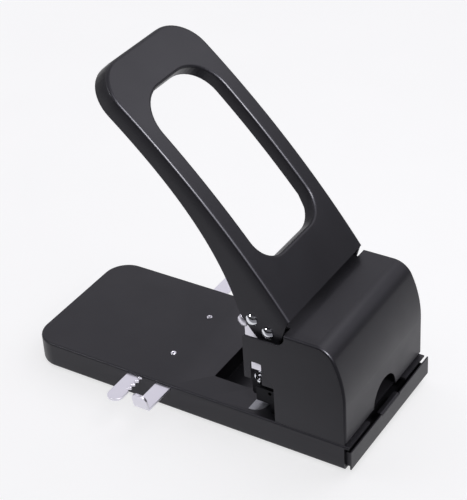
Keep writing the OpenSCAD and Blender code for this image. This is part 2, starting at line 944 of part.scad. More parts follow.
// A frame plate on the +X side: carries the pivot shaft and stands on a foot turned inward
module frame_plate() {
    difference() {
        union() {
            across(frame_in, frame_out)
                union() {
                    polygon([[frame_foot_y0, table_h], [frame_foot_y1, table_h],
                             [frame_foot_y1, frame_rear_z],
                             [pivot_y + 0.7 * boss_r, pivot_z + 0.6 * boss_r], [pivot_y, pivot_z],
                             [frame_front_y, pivot_z - 0.6 * boss_r],
                             [frame_front_y, frame_arm_z], [frame_foot_y0, frame_arm_z]]);
                    translate([pivot_y, pivot_z])
                        circle(boss_r);
                }
            translate([frame_in - frame_foot_w, frame_foot_y0, table_h])
                cube([frame_foot_w + eps, frame_foot_y1 - frame_foot_y0, frame_foot_t]);
        }
        rod(pivot_y, pivot_z, pivot_r, frame_in - 1, frame_out + 1);
        for (spot = tie_rod_spots)
            rod(spot[0], spot[1], tie_rod_r - 0.5, frame_in - 1, frame_out + 1);
        frame_screw_spots()
            cylinder(r = screw_r, h = 10, center = true);
    }
}

module right_frame_plate() {
    color(black_paint)
        frame_plate();
}

module left_frame_plate() {
    color(black_paint)
        mirror([1, 0, 0])
            frame_plate();
}

// Tie rods between the frame plates, riveted over outside
module frame_tie_rods() {
    color(bare_steel)
    for (spot = tie_rod_spots) {
        rod(spot[0], spot[1], tie_rod_r, -frame_in, frame_in);
        both_sides() {
            rod(spot[0], spot[1], tie_rod_r - 0.5, frame_in - eps, frame_out);
            rod(spot[0], spot[1], tie_rod_head_r, frame_out, frame_out + tie_rod_head_h);
        }
    }
}

// The lever's own frame: X across, Y up along the lever, Z into it from the middle of its broad face
module in_lever() {
    translate([0, mid_y, mid_z])
        rotate([180 - lever_tilt, 0, 0])
            children();
}

// Distance that the bowed face drops below its middle
function bow(u) = lever_bow_r - sqrt(lever_bow_r * lever_bow_r - u * u);
function skirt_depth(u) =
    let (share = max(0, (skirt_top_u - u) / (skirt_top_u - ear_u)))
        skirt_d + (ear_front_d - bow(ear_u) - skirt_d) * pow(share, skirt_power);

// The band between two depths below the bowed face
module bow_band(d0, d1) {
    translate([0, lever_bow_r])
        difference() {
            circle(lever_bow_r - d0, $fn = bow_facets);
            circle(lever_bow_r - d1, $fn = bow_facets);
        }
}

// The lever seen from the side: bowed back, flared front edge and ear
module lever_side() {
    steps = 20;
    reach = lever_half + 20;
    front = [for (i = [0 : steps])
        let (u = ear_u + (reach - ear_u) * i / steps)
            [u, bow(u) + skirt_depth(u)]];
    intersection() {
        translate([0, lever_bow_r])
            circle(lever_bow_r, $fn = bow_facets);
        union() {
            polygon(concat([[-lever_half, -1], [pivot_u - 0.88 * ear_r, pivot_d - 0.4 * ear_r],
                            [pivot_u, pivot_d], [pivot_u, pivot_d + 0.99 * ear_r]],
                           front, [[reach, -1]]));
            translate([pivot_u, pivot_d])
                circle(ear_r);
        }
    }
}

// The lever's face outline in X and U, drawn in by a margin, from a lower end
module lever_outline(margin, foot_u) {
    end_rounded(-lever_half_w + margin, foot_u, lever_half_w - margin, lever_half - margin,
                lever_corner_r - margin);
}

// The window's outline in X and U, grown by a margin
module window_outline(margin) {
    half = window_w / 2 + margin;
    u0 = window_u0 - margin;
    u1 = window_u0 + window_len + margin;
    mid = window_u0 + window_len / 2;
    end_rounded(-half, mid - eps, half, u1, window_top_r + margin);
    translate([0, 2 * mid])
        mirror([0, 1])
            end_rounded(-half, mid - eps, half, 2 * mid - u0, window_foot_r + margin);
}

// Lever: a bowed face with a window, a skirt around three sides and two ears
module lever() {
    deep = 60;
    color(black_paint)
    in_lever()
    difference() {
        union() {
            intersection() {
                linear_extrude(deep)
                    lever_outline(0, -lever_half);
                across(-cover_half_w, cover_half_w)
                    bow_band(0, lever_t);
            }
            intersection() {
                linear_extrude(deep)
                    difference() {
                        lever_outline(0, -lever_half - 2 * ear_r);
                        lever_outline(lever_t, -lever_half - 3 * ear_r);
                    }
                across(-cover_half_w, cover_half_w)
                    lever_side();
            }
            intersection() {
                linear_extrude(deep)
                    difference() {
                        window_outline(lever_t);
                        window_outline(0);
                    }
                across(-cover_half_w, cover_half_w)
                    bow_band(0, rim_d);
            }
        }
        translate([0, 0, -1])
            linear_extrude(deep)
                window_outline(0);
        rod(pivot_u, pivot_d, pivot_r + bore_fit, -cover_half_w, cover_half_w);
        rod(link_u, link_d, link_r, -cover_half_w, cover_half_w);
    }
}

// Pivot shaft through the frame plates, with a domed head outside each ear
module pivot_shaft() {
    color(chrome) {
        rod(pivot_y, pivot_z, pivot_r, -lever_half_w - slip, lever_half_w + slip);
        both_sides()
            domed_head(pivot_y, pivot_z, lever_half_w + slip, head_r, head_h);
    }
}

// Link rod from ear to ear, which drives the yokes
module link_rod() {
    color(chrome) {
        rod(link_y, link_z, link_r, -lever_half_w, lever_half_w);
        both_sides()
            domed_head(link_y, link_z, lever_half_w, head_r, head_h);
    }
}

// Press bar between the yokes, with a seat for each punch
module press_bar() {
    color(bare_steel)
    difference() {
        translate([-yoke_in, press_front_y, press_foot])
            cube([2 * yoke_in, press_rear_y - press_front_y, press_h]);
        for (x = [-punch_x, punch_x])
            translate([x, punch_y, press_foot - 1]) {
                cylinder(r = punch_r, h = press_h + 2);
                translate([0, 0, press_h + 1 - punch_head_h])
                    cylinder(r = punch_head_r, h = punch_head_h + 1);
            }
        keeper_screw_spots()
            translate([0, 0, -keeper_screw_grip - 1])
                cylinder(r = screw_r, h = keeper_screw_grip + 2);
        both_sides()
            yoke_screw_spots()
                cylinder(r = yoke_screw_r, h = 2 * yoke_screw_len, center = true);
    }
}

// A punch with a head at its top and a hollow-ground tip
module punch() {
    translate([0, punch_y, punch_tip]) {
        difference() {
            cylinder(r = punch_r, h = press_top - punch_tip);
            translate([0, 0, -eps])
                cylinder(r1 = punch_r - 0.5, r2 = 0.6, h = 1.6);
        }
        translate([0, 0, press_top - punch_tip - punch_head_h])
            cylinder(r = punch_head_r, h = punch_head_h);
    }
}

module right_punch() {
    color(chrome)
        translate([punch_x, 0, 0])
            punch();
}

module left_punch() {
    color(chrome)
        translate([-punch_x, 0, 0])
            punch();
}

module keeper_screw_spots() {
    for (x = [-keeper_screw_x, keeper_screw_x])
        translate([x, punch_y, press_top])
            children();
}

// Keeper strip that holds the punches' heads down in the press bar
module punch_keeper() {
    color(zinc)
    difference() {
        translate([-yoke_in + 1, punch_y - keeper_w / 2, press_top])
            cube([2 * yoke_in - 2, keeper_w, keeper_t]);
        keeper_screw_spots()
            cylinder(r = screw_r, h = 3 * keeper_t, center = true);
    }
}

module keeper_screws() {
    color(bare_steel)
    keeper_screw_spots() {
        translate([0, 0, -keeper_screw_grip])
            cylinder(r = screw_r, h = keeper_screw_grip + keeper_t);
        translate([0, 0, keeper_t])
            difference() {
                cylinder(r = screw_head_r, h = screw_head_h);
                translate([-screw_head_r, -keeper_slot_w / 2, screw_head_h / 2])
                    cube([2 * screw_head_r, keeper_slot_w, screw_head_h]);
            }
    }
}

module yoke_screw_spots() {
    for (z = [press_foot + yoke_screw_inset, press_top - yoke_screw_inset])
        translate([yoke_out, yoke_screw_y, z])
            rotate([0, 90, 0])
                children();
}

// A yoke plate on the +X side: the link rod runs in its slot and the tie rod through its lug
module yoke() {
    slot_half = link_r + yoke_slot_lift;
    difference() {
        across(yoke_in, yoke_out)
            difference() {
                union() {
                    translate([yoke_front_y, yoke_foot])
                        square([yoke_rear_y - yoke_front_y, yoke_top - yoke_foot]);
                    translate([tie_y, tie_z])
                        circle(lug_r);
                    translate([tie_y, tie_z - lug_r + 0.2])
                        square([yoke_front_y - tie_y + 1, 2 * lug_r - 0.4]);
                }
                translate([punch_y - yoke_slot_run, link_z - slot_half])
                    square([2 * yoke_slot_run, 2 * slot_half]);
                for (y = [punch_y - yoke_slot_run, punch_y + yoke_slot_run])
                    translate([y, link_z])
                        circle(slot_half);
            }
        rod(tie_y, tie_z, tie_r, yoke_in - 1, yoke_out + 1);
        yoke_screw_spots()
            cylinder(r = yoke_screw_r, h = 2 * yoke_screw_len, center = true);
    }
}

module right_yoke() {
    color(zinc)
        yoke();
}

module left_yoke() {
    color(zinc)
        mirror([1, 0, 0])
            yoke();
}

module yoke_screws() {
    color(bare_steel)
    both_sides()
        yoke_screw_spots() {
            translate([0, 0, -yoke_screw_len])
                cylinder(r = yoke_screw_r, h = yoke_screw_len);
            cylinder(r = yoke_screw_head_r, h = yoke_screw_head_h);
        }
}

// Tie rod between the yokes, domed over outside
module yoke_tie_rod() {
    color(zinc) {
        rod(tie_y, tie_z, tie_r, -yoke_out, yoke_out);
        both_sides()
            domed_head(tie_y, tie_z, yoke_out, lug_r - 0.3, yoke_head_h);
    }
}

// Chip tray: slides out to the rear by its lip
module chip_tray() {
    front_end_y = tray_rear_y - tray_len;
    color(black_paint) {
        difference() {
            translate([-tray_half_w, front_end_y, tray_foot])
                cube([2 * tray_half_w, tray_len + eps, tray_top - tray_foot]);
            translate([-tray_half_w + tray_t, front_end_y + tray_t, tray_foot + tray_t])
                cube([2 * (tray_half_w - tray_t), tray_len - 2 * tray_t, tray_top]);
        }
        translate([-lip_half_w, tray_rear_y, lip_foot])
            cube([2 * lip_half_w, lip_t, lip_h]);
        translate([-pull_w / 2, tray_rear_y - pull_d, lip_foot + lip_h - lip_t])
            cube([pull_w, pull_d + eps, lip_t]);
    }
}

base_pan();
rubber_feet();
guide_channel();
channel_rivets();
pinion_stud();
die_bar();
guide_block();
guide_bushes();
block_screws();
return_springs();
left_side_plate();
right_side_plate();
side_plate_screws();
rear_cover();
left_frame_plate();
right_frame_plate();
frame_screws();
frame_tie_rods();
lever();
pivot_shaft();
link_rod();
press_bar();
left_yoke();
right_yoke();
yoke_screws();
yoke_tie_rod();
left_punch();
right_punch();
punch_keeper();
keeper_screws();
left_guide_bar();
right_guide_bar();
guide_pinion();
chip_tray();
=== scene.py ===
"""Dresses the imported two-hole punch in its real materials and stands it in a plain studio.

Sizes are millimetres in the part's frame: +X to the right, +Y to the rear, +Z up. Meshes are written in metres,
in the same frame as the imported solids. The studio's own places and sizes are metres.
"""
import json
import logging
import math
from dataclasses import dataclass, field
from enum import Enum
from typing import Any, Callable, Sequence

import bmesh
import bpy
from mathutils import Matrix, Vector
from mathutils.geometry import tessellate_polygon


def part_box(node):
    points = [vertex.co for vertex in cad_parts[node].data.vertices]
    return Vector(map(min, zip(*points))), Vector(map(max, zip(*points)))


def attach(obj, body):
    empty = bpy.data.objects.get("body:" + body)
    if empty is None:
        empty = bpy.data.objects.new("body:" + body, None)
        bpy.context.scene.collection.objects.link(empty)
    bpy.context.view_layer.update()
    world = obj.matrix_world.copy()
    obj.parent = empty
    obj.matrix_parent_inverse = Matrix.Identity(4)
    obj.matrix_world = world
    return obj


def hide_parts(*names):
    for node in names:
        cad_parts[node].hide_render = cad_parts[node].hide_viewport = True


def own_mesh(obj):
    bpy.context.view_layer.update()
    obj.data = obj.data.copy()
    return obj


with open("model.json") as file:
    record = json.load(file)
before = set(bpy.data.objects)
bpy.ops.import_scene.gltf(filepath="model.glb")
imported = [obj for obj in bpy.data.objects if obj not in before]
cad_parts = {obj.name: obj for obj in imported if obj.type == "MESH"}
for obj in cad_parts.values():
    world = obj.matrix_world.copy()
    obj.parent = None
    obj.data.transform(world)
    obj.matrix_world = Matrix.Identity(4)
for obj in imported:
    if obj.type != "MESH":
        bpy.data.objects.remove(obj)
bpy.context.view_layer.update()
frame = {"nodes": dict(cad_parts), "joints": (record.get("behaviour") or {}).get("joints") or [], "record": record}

Point = tuple[float, float, float]
Pair = tuple[float, float]
# A stop along a rim: X, Y and the way inward
Stop = tuple[float, float, float, float]

LOG = logging.getLogger("punch")
MM = 0.001
FRAME_PIXELS = (467, 500)
# Points are kept to this many digits of a millimetre, and lengths that differ by less than SAME are equal
DIGITS = 4
SAME = 1e-6
# Most values of a noise texture lie between these
NOISE_SPAN = (0.3, 0.7)
# A colour mix has several sockets of each name, so its own are known by number
FACTOR, FIRST, SECOND, MIXED = 0, 6, 7, 2


class Side(Enum):
    """The two sides of the punch, with the sign of X on each."""

    LEFT = -1
    RIGHT = 1

    def word(self) -> str:
        """Returns the side as it stands in the nodes' names."""
        return self.name.lower()


class Axis(Enum):
    """The axes that a tool's or a roller's lines run along, by number."""

    X = 0
    Z = 2


class Slot(Enum):
    """The record's material slots."""

    PAINT = "black_paint"
    ZINC = "zinc_plate"
    CHROME = "chrome_plate"
    STEEL = "machined_steel"
    RUBBER = "black_rubber"
    OXIDE = "black_oxide"


def linear(code: str) -> tuple[float, float, float, float]:
    """Turns an sRGB hex colour into linear RGBA.

    Args:
        code: Six hex digits after a hash sign.

    Returns:
        Linear red, green and blue, and an alpha of 1.
    """
    parts = [int(code[i:i + 2], 16) / 255 for i in (1, 3, 5)]
    red, green, blue = (c / 12.92 if c <= 0.04045 else ((c + 0.055) / 1.055) ** 2.4 for c in parts)
    return red, green, blue, 1.0


def per_metre(size_mm: float) -> float:
    """Returns the texture scale that gives a pattern of this size on the real object."""
    return 1 / (size_mm * MM)


def clamp(share: float) -> float:
    """Keeps a share between 0 and 1."""
    return min(max(share, 0.0), 1.0)


def box_mm(node: str) -> tuple[Vector, Vector]:
    """Returns a node's lowest and highest corners at rest, in mm."""
    low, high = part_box(node)
    return Vector(low) / MM, Vector(high) / MM


def joint(name: str) -> dict[str, Any]:
    """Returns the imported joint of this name."""
    return next(one for one in frame["joints"] if one["name"] == name)


def feed(tree: bpy.types.NodeTree, node: bpy.types.Node, links: dict[str | int, bpy.types.NodeSocket]) -> None:
    """Links sockets to a node's inputs, by name or number."""
    for key, socket in links.items():
        tree.links.new(socket, node.inputs[key])


def add(tree: bpy.types.NodeTree, kind: str, values: dict[str | int, Any] | None = None,
        links: dict[str | int, bpy.types.NodeSocket] | None = None, **settings: Any) -> bpy.types.Node:
    """Adds one shader node, sets it and links it.

    Args:
        tree: The material's or the world's node tree.
        kind: The node's type name.
        values: Values of its inputs, by name or number.
        links: Sockets that feed its inputs, by name or number.
        **settings: The node's own properties.

    Returns:
        The new node.
    """
    node = tree.nodes.new(kind)
    for name, value in settings.items():
        setattr(node, name, value)
    for key, value in (values or {}).items():
        node.inputs[key].default_value = value
    feed(tree, node, links or {})
    return node


def span(source: Pair, target: Pair) -> dict[str | int, Any]:
    """Returns the inputs of a map range that carries one stretch of values onto another."""
    return dict(enumerate((*source, *target), 1))


@dataclass
class Bench:
    """A material in the making: its shader, with the values that don't vary, and the object's own coordinates."""

    name: str
    even: dict[str, Any]

    def __post_init__(self) -> None:
        """Starts the material."""
        self.material = bpy.data.materials.new(self.name)
        self.material.use_nodes = True
        self.tree = self.material.node_tree
        self.shader = self.tree.nodes["Principled BSDF"]
        for key, value in self.even.items():
            self.shader.inputs[key].default_value = value
        self.here = add(self.tree, "ShaderNodeTexCoord").outputs["Object"]


@dataclass(frozen=True)
class Enamel:
    """Black enamel sprayed on pressed steel and stoved.

    It gives the eye a deep, slightly cool black with a broad soft sheen under a thin glossier skin, which draws
    the crisp lines along the bends. A fine orange peel breaks the rim of each highlight, hands leave slightly
    duller patches, and the paint is thin and paler along the cut edges.
    """

    name: str = "stoved_black_enamel_on_pressed_steel"
    paint: str = "#0e0d10"
    handled: str = "#141316"
    worn: str = "#2c2b2e"
    speck: str = "#26252a"
    roughness: Pair = (0.41, 0.49)
    ior: float = 1.40
    mirrored: str = "#f0eeff"
    skin: float = 0.15
    skin_roughness: float = 0.26
    peel_mm: float = 1.8
    peel_height_mm: float = 0.1
    peel_strength: float = 0.06
    patch_mm: float = 34.0
    speck_mm: float = 0.9
    speck_from: Pair = (0.70, 0.80)
    speck_most: float = 0.6
    edge_from: Pair = (0.53, 0.66)
    edge_most: float = 0.75

    def material(self) -> bpy.types.Material:
        """Builds the enamel.

        Returns:
            The finished material.
        """
        bench = Bench(self.name, {"IOR": self.ior, "Specular Tint": linear(self.mirrored),
                                  "Coat Weight": self.skin, "Coat Roughness": self.skin_roughness})
        tree, here = bench.tree, bench.here
        patch = add(tree, "ShaderNodeTexNoise", {"Scale": per_metre(self.patch_mm), "Detail": 4.0},
                    {"Vector": here})
        tone = add(tree, "ShaderNodeMix", {FIRST: linear(self.paint), SECOND: linear(self.handled)},
                   {FACTOR: patch.outputs[0]}, data_type="RGBA")
        # Dust in the paint: rare small specks, a little coarser than real so that they show at all
        dust = add(tree, "ShaderNodeTexNoise", {"Scale": per_metre(self.speck_mm), "Detail": 1.0},
                   {"Vector": here})
        rare = add(tree, "ShaderNodeMapRange", span(self.speck_from, (0.0, self.speck_most)), {0: dust.outputs[0]})
        dusty = add(tree, "ShaderNodeMix", {SECOND: linear(self.speck)},
                    {FACTOR: rare.outputs[0], FIRST: tone.outputs[MIXED]}, data_type="RGBA")
        # Cut edges: paint draws back from them as it bakes
        crest = add(tree, "ShaderNodeNewGeometry").outputs["Pointiness"]
        thin = add(tree, "ShaderNodeMapRange", span(self.edge_from, (0.0, self.edge_most)), {0: crest})
        edged = add(tree, "ShaderNodeMix", {SECOND: linear(self.worn)},
                    {FACTOR: thin.outputs[0], FIRST: dusty.outputs[MIXED]}, data_type="RGBA")
        gloss = add(tree, "ShaderNodeMapRange", span(NOISE_SPAN, self.roughness), {0: patch.outputs[0]})
        peel = add(tree, "ShaderNodeTexNoise", {"Scale": per_metre(self.peel_mm), "Detail": 2.0},
                   {"Vector": here})
        bump = add(tree, "ShaderNodeBump", {"Strength": self.peel_strength, "Distance": self.peel_height_mm * MM},
                   {"Height": peel.outputs[0]})
        feed(tree, bench.shader, {"Base Color": edged.outputs[MIXED], "Roughness": gloss.outputs[0],
                                  "Normal": bump.outputs[0]})
        return bench.material


@dataclass(frozen=True)
class Metal:
    """A metal surface: plated, drawn or machined.

    The eye sees a coloured reflection that is never quite even: two close tones in soft clouds, a roughness that
    drifts with them, and fine lines left by the tool or the roller along one axis.
    """

    name: str
    light: str
    dark: str
    roughness: Pair
    cloud_mm: float
    line_mm: float
    line_axis: Axis
    line_height_mm: float
    line_length: float = 30.0
    line_strength: float = 0.25

    def material(self) -> bpy.types.Material:
        """Builds the metal.

        Returns:
            The finished material.
        """
        bench = Bench(self.name, {"Metallic": 1.0})
        tree, here = bench.tree, bench.here
        cloud = add(tree, "ShaderNodeTexNoise", {"Scale": per_metre(self.cloud_mm), "Detail": 5.0},
                    {"Vector": here})
        tone = add(tree, "ShaderNodeMix", {FIRST: linear(self.dark), SECOND: linear(self.light)},
                   {FACTOR: cloud.outputs[0]}, data_type="RGBA")
        gloss = add(tree, "ShaderNodeMapRange", span(NOISE_SPAN, self.roughness), {0: cloud.outputs[0]})
        stretch = [1.0, 1.0, 1.0]
        stretch[self.line_axis.value] = 1 / self.line_length
        drawn = add(tree, "ShaderNodeMapping", {"Scale": stretch}, {"Vector": here})
        lines = add(tree, "ShaderNodeTexNoise", {"Scale": per_metre(self.line_mm), "Detail": 2.0},
                    {"Vector": drawn.outputs[0]})
        bump = add(tree, "ShaderNodeBump", {"Strength": self.line_strength, "Distance": self.line_height_mm * MM},
                   {"Height": lines.outputs[0]})
        feed(tree, bench.shader, {"Base Color": tone.outputs[MIXED], "Roughness": gloss.outputs[0],
                                  "Normal": bump.outputs[0]})
        return bench.material


@dataclass(frozen=True)
class Rubber:
    """Moulded black rubber: a dead matt black with a fine grain, greyed by dust."""

    name: str = "moulded_black_rubber"
    body: str = "#141414"
    dusty: str = "#2b2a29"
    roughness: Pair = (0.72, 0.9)
    dust_mm: float = 6.0
    grain_mm: float = 0.7
    grain_height_mm: float = 0.1
    grain_strength: float = 0.3

    def material(self) -> bpy.types.Material:
        """Builds the rubber.

        Returns:
            The finished material.
        """
        bench = Bench(self.name, {})
        tree, here = bench.tree, bench.here
        dust = add(tree, "ShaderNodeTexNoise", {"Scale": per_metre(self.dust_mm), "Detail": 3.0},
                   {"Vector": here})
        tone = add(tree, "ShaderNodeMix", {FIRST: linear(self.body), SECOND: linear(self.dusty)},
                   {FACTOR: dust.outputs[0]}, data_type="RGBA")
        matt = add(tree, "ShaderNodeMapRange", span(NOISE_SPAN, self.roughness), {0: dust.outputs[0]})
        grain = add(tree, "ShaderNodeTexNoise", {"Scale": per_metre(self.grain_mm), "Detail": 1.0},
                    {"Vector": here})
        bump = add(tree, "ShaderNodeBump", {"Strength": self.grain_strength, "Distance": self.grain_height_mm * MM},
                   {"Height": grain.outputs[0]})
        feed(tree, bench.shader, {"Base Color": tone.outputs[MIXED], "Roughness": matt.outputs[0],
                                  "Normal": bump.outputs[0]})
        return bench.material


# Bright zinc plate over rolled strip: pale, faintly blue, with the strip's rolling lines under the plate
ZINC = Metal("bright_zinc_plate_on_rolled_strip", "#e4e2ea", "#d8d6e0", (0.30, 0.38),
             cloud_mm=12.0, line_mm=0.7, line_axis=Axis.X, line_height_mm=0.006)
# Bright chrome plate over turned heads: a hard mirror, only slightly clouded by handling
CHROME = Metal("bright_chrome_plate_on_turned_steel", "#eceef2", "#d2d4da", (0.06, 0.16),
               cloud_mm=5.0, line_mm=0.5, line_axis=Axis.X, line_height_mm=0.006)
# Oil-blackened steel, made darker still with painted shade for the springs and the other blackened parts deep inside
# the head: nearly black, with a thin bright line along each turn of a spring
OXIDE = Metal("oil_blackened_steel_darkened_for_painted_shade", "#262629", "#19191b", (0.38, 0.52),
              cloud_mm=4.0, line_mm=0.5, line_axis=Axis.Z, line_height_mm=0.01)
# Oiled machined steel: a mid grey between the plate and the blackened parts, with cutter lines across it
STEEL = Metal("oiled_machined_steel", "#a2a3a8", "#74757a", (0.26, 0.44),
              cloud_mm=6.0, line_mm=0.5, line_axis=Axis.X, line_height_mm=0.02)


@dataclass
class Wardrobe:
    """One material for each of the record's slots."""

    materials: dict[Slot, bpy.types.Material] = field(init=False)

    def __post_init__(self) -> None:
        """Builds every finish once."""
        finishes = {Slot.PAINT: Enamel(), Slot.ZINC: ZINC, Slot.CHROME: CHROME, Slot.STEEL: STEEL,
                    Slot.RUBBER: Rubber(), Slot.OXIDE: OXIDE}
        self.materials = {slot: finish.material() for slot, finish in finishes.items()}

    def dress_node(self, node: str, slot: Slot) -> None:
        """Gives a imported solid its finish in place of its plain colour."""
        for holder in frame["nodes"][node].material_slots:
            holder.material = self.materials[slot]

    def dress(self, piece: bpy.types.Object, slot: Slot, body: str, node: str) -> None:
        """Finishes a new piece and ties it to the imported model.

        Args:
            piece: The piece, in place.
            slot: Its finish.
            body: The body that it rides on.
            node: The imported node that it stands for.
        """
        piece.data.materials.clear()
        piece.data.materials.append(self.materials[slot])
        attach(piece, body)
        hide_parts(node)
        LOG.info("%s: %d faces, on %s, for %s", piece.name, len(piece.data.polygons), body, node)


def turn_out(mesh: bpy.types.Mesh, weld: bool = False, facing: Sequence[float] | None = None) -> None:
    """Turns a mesh's faces outward.

    Args:
        mesh: The mesh.
        weld: Whether points that lie on each other are joined first.
        facing: The way that the first face looks, for a surface with no inside.
    """
    work = bmesh.new()
    work.from_mesh(mesh)
    if weld:
        bmesh.ops.remove_doubles(work, verts=work.verts, dist=SAME)
    bmesh.ops.recalc_face_normals(work, faces=work.faces)
    work.faces.ensure_lookup_table()
    if facing is not None and work.faces[0].normal.dot(Vector(facing)) < 0:
        bmesh.ops.reverse_faces(work, faces=work.faces)
    work.to_mesh(mesh)
    work.free()


def link_piece(name: str, mesh: bpy.types.Mesh, crisp_deg: float) -> bpy.types.Object:
    """Shades a mesh smooth and links it as a piece.

    Args:
        name: The piece's name.
        mesh: Its faces.
        crisp_deg: Edges that turn more than this stay crisp.

    Returns:
        The linked object.
    """
    mesh.shade_smooth()
    mesh.set_sharp_from_angle(angle=math.radians(crisp_deg))
    made = bpy.data.objects.new(name, mesh)
    bpy.context.scene.collection.objects.link(made)
    return made


@dataclass
class Skin:
    """Points and faces of one surface, in mm. Points that coincide are shared."""

    points: list[Point] = field(default_factory=list)
    faces: list[tuple[int, ...]] = field(default_factory=list)
    seen: dict[Point, int] = field(default_factory=dict)
    crisp_deg: float = 40.0

    def at(self, point: Sequence[float]) -> int:
        """Finds a point, or adds it if it is new.

        Args:
            point: Its place.

        Returns:
            Its number.
        """
        key = (round(point[0], DIGITS), round(point[1], DIGITS), round(point[2], DIGITS))
        if key not in self.seen:
            self.seen[key] = len(self.points)
            self.points.append(key)
        return self.seen[key]

    def face(self, corners: Sequence[Sequence[float]]) -> None:
        """Adds one face, leaving out repeated corners.

        Args:
            corners: Places of its corners, in order.
        """
        ring = list(dict.fromkeys(self.at(corner) for corner in corners))
        if len(ring) > 2:
            self.faces.append(tuple(ring))

    def strip(self, columns: Sequence[Sequence[Sequence[float]]],
              keep: Callable[[int, int], bool] = lambda column, row: True) -> None:
        """Adds quads between neighbouring columns of points.

        Args:
            columns: Columns of points; a shorter column ends the strip early.
            keep: Says whether the quad after this column and row is there.
        """
        for i, (one, two) in enumerate(zip(columns, columns[1:])):
            for j in range(min(len(one), len(two)) - 1):
                if keep(i, j):
                    self.face((one[j], two[j], two[j + 1], one[j + 1]))

    def fill(self, *loops: Sequence[Sequence[float]]) -> None:
        """Adds a flat face with holes.

        Args:
            *loops: Its rim, then the rims of its holes.
        """
        flat = [point for loop in loops for point in loop]
        for corners in tessellate_polygon([[Vector(point) for point in loop] for loop in loops]):
            self.face([flat[k] for k in corners])

    def piece(self, name: str, facing: Sequence[float]) -> bpy.types.Object:
        """Makes the mesh object.

        Args:
            name: The piece's name.
            facing: The way that the first face looks.

        Returns:
            The linked object.
        """
        mesh = bpy.data.meshes.new(name)
        mesh.from_pydata([tuple(c * MM for c in point) for point in self.points], [], self.faces)
        turn_out(mesh, facing=facing)
        return link_piece(name, mesh, self.crisp_deg)


def shade_flats(piece: bpy.types.Object) -> None:
    """Keeps large flats evenly shaded beside their bends and eased edges."""
    piece.modifiers.new("flats", "WEIGHTED_NORMAL").keep_sharp = True


def sheet_metal(piece: bpy.types.Object, thickness: float, edge_r: float, cut_deg: float = 55.0) -> None:
    """Gives a surface its sheet thickness, behind its face, and eases the cut edges.

    Args:
        piece: The surface.
        thickness: Of the sheet, in mm.
        edge_r: Radius of the deburred edges, in mm.
        cut_deg: Edges that turn more than this are cut ones, not bends.
    """
    solid = piece.modifiers.new("sheet", "SOLIDIFY")
    solid.thickness = thickness * MM
    solid.offset = -1.0
    solid.use_even_offset = True
    ease = piece.modifiers.new("deburred", "BEVEL")
    ease.width = edge_r * MM
    ease.segments = 2
    ease.limit_method = "ANGLE"
    ease.angle_limit = math.radians(cut_deg)
    shade_flats(piece)


def plate(name: str, outline: Sequence[Pair], thickness: float, edge_r: float, place: Matrix,
          crisp_deg: float = 50.0) -> bpy.types.Object:
    """Makes a flat plate with eased edges from its outline.

    Args:
        name: The piece's name.
        outline: Its rim, in mm.
        thickness: Of the plate, in mm.
        edge_r: Radius of its edges, in mm.
        place: Turns and moves the outline's plane, in mm.
        crisp_deg: Edges that turn more than this stay crisp.

    Returns:
        The linked mesh object.
    """
    curve = bpy.data.curves.new(name, "CURVE")
    curve.dimensions = "2D"
    curve.fill_mode = "BOTH"
    curve.extrude = (thickness / 2 - edge_r) * MM
    curve.bevel_depth = edge_r * MM
    curve.bevel_resolution = 1
    curve.offset = -edge_r * MM
    spline = curve.splines.new("POLY")
    spline.points.add(len(outline) - 1)
    spline.use_cyclic_u = True
    for spot, (a, b) in zip(spline.points, outline):
        spot.co = (a * MM, b * MM, 0.0, 1.0)
    shape = bpy.data.objects.new(name, curve)
    bpy.context.scene.collection.objects.link(shape)
    bpy.context.view_layer.update()
    mesh = bpy.data.meshes.new_from_object(shape.evaluated_get(bpy.context.evaluated_depsgraph_get()))
    bpy.data.objects.remove(shape)
    bpy.data.curves.remove(curve)
    turn = place.copy()
    turn.translation = place.translation * MM
    mesh.transform(turn)
    mesh.name = name
    turn_out(mesh, weld=True)
    made = link_piece(name, mesh, crisp_deg)
    shade_flats(made)
    return made


def lathe(skin: Skin, profile: Sequence[Pair], place: Matrix, steps: int = 40) -> None:
    """Adds a turned surface to a skin.

    Args:
        skin: Takes the faces.
        profile: Distance along the axis and radius of each ring, in mm.
        place: Turns local Z into the axis, in mm.
        steps: Faces round it.
    """
    columns = []
    for k in range(steps + 1):
        angle = math.tau * (k % steps) / steps
        columns.append([place @ Vector((r * math.cos(angle), r * math.sin(angle), along)) for along, r in profile])
    skin.strip(columns)


def arc(centre: Pair, radius: float, start_deg: float, end_deg: float, steps: int) -> list[Pair]:
    """Returns points along an arc, both ends included."""
    angles = [math.radians(start_deg + (end_deg - start_deg) * k / steps) for k in range(steps + 1)]
    return [(centre[0] + radius * math.cos(a), centre[1] + radius * math.sin(a)) for a in angles]


def rounded(low: Pair, high: Pair, radii: Sequence[float], steps: int = 10) -> list[Pair]:
    """Returns a rectangle with round corners, counter-clockwise from the low corner.

    Args:
        low: Lower left corner.
        high: Upper right corner.
        radii: Of the low-left, low-right, high-right and high-left corners.
        steps: Faces of each round corner.

    Returns:
        The outline's points.
    """
    corners = ((low[0], low[1], 1, 1, 180), (high[0], low[1], -1, 1, 270),
               (high[0], high[1], -1, -1, 0), (low[0], high[1], 1, -1, 90))
    points: list[Pair] = []
    for (x, y, inward_x, inward_y, start), r in zip(corners, radii):
        if r <= 0:
            points.append((x, y))
        else:
            points += arc((x + inward_x * r, y + inward_y * r), r, start, start + 90, steps)
    return points


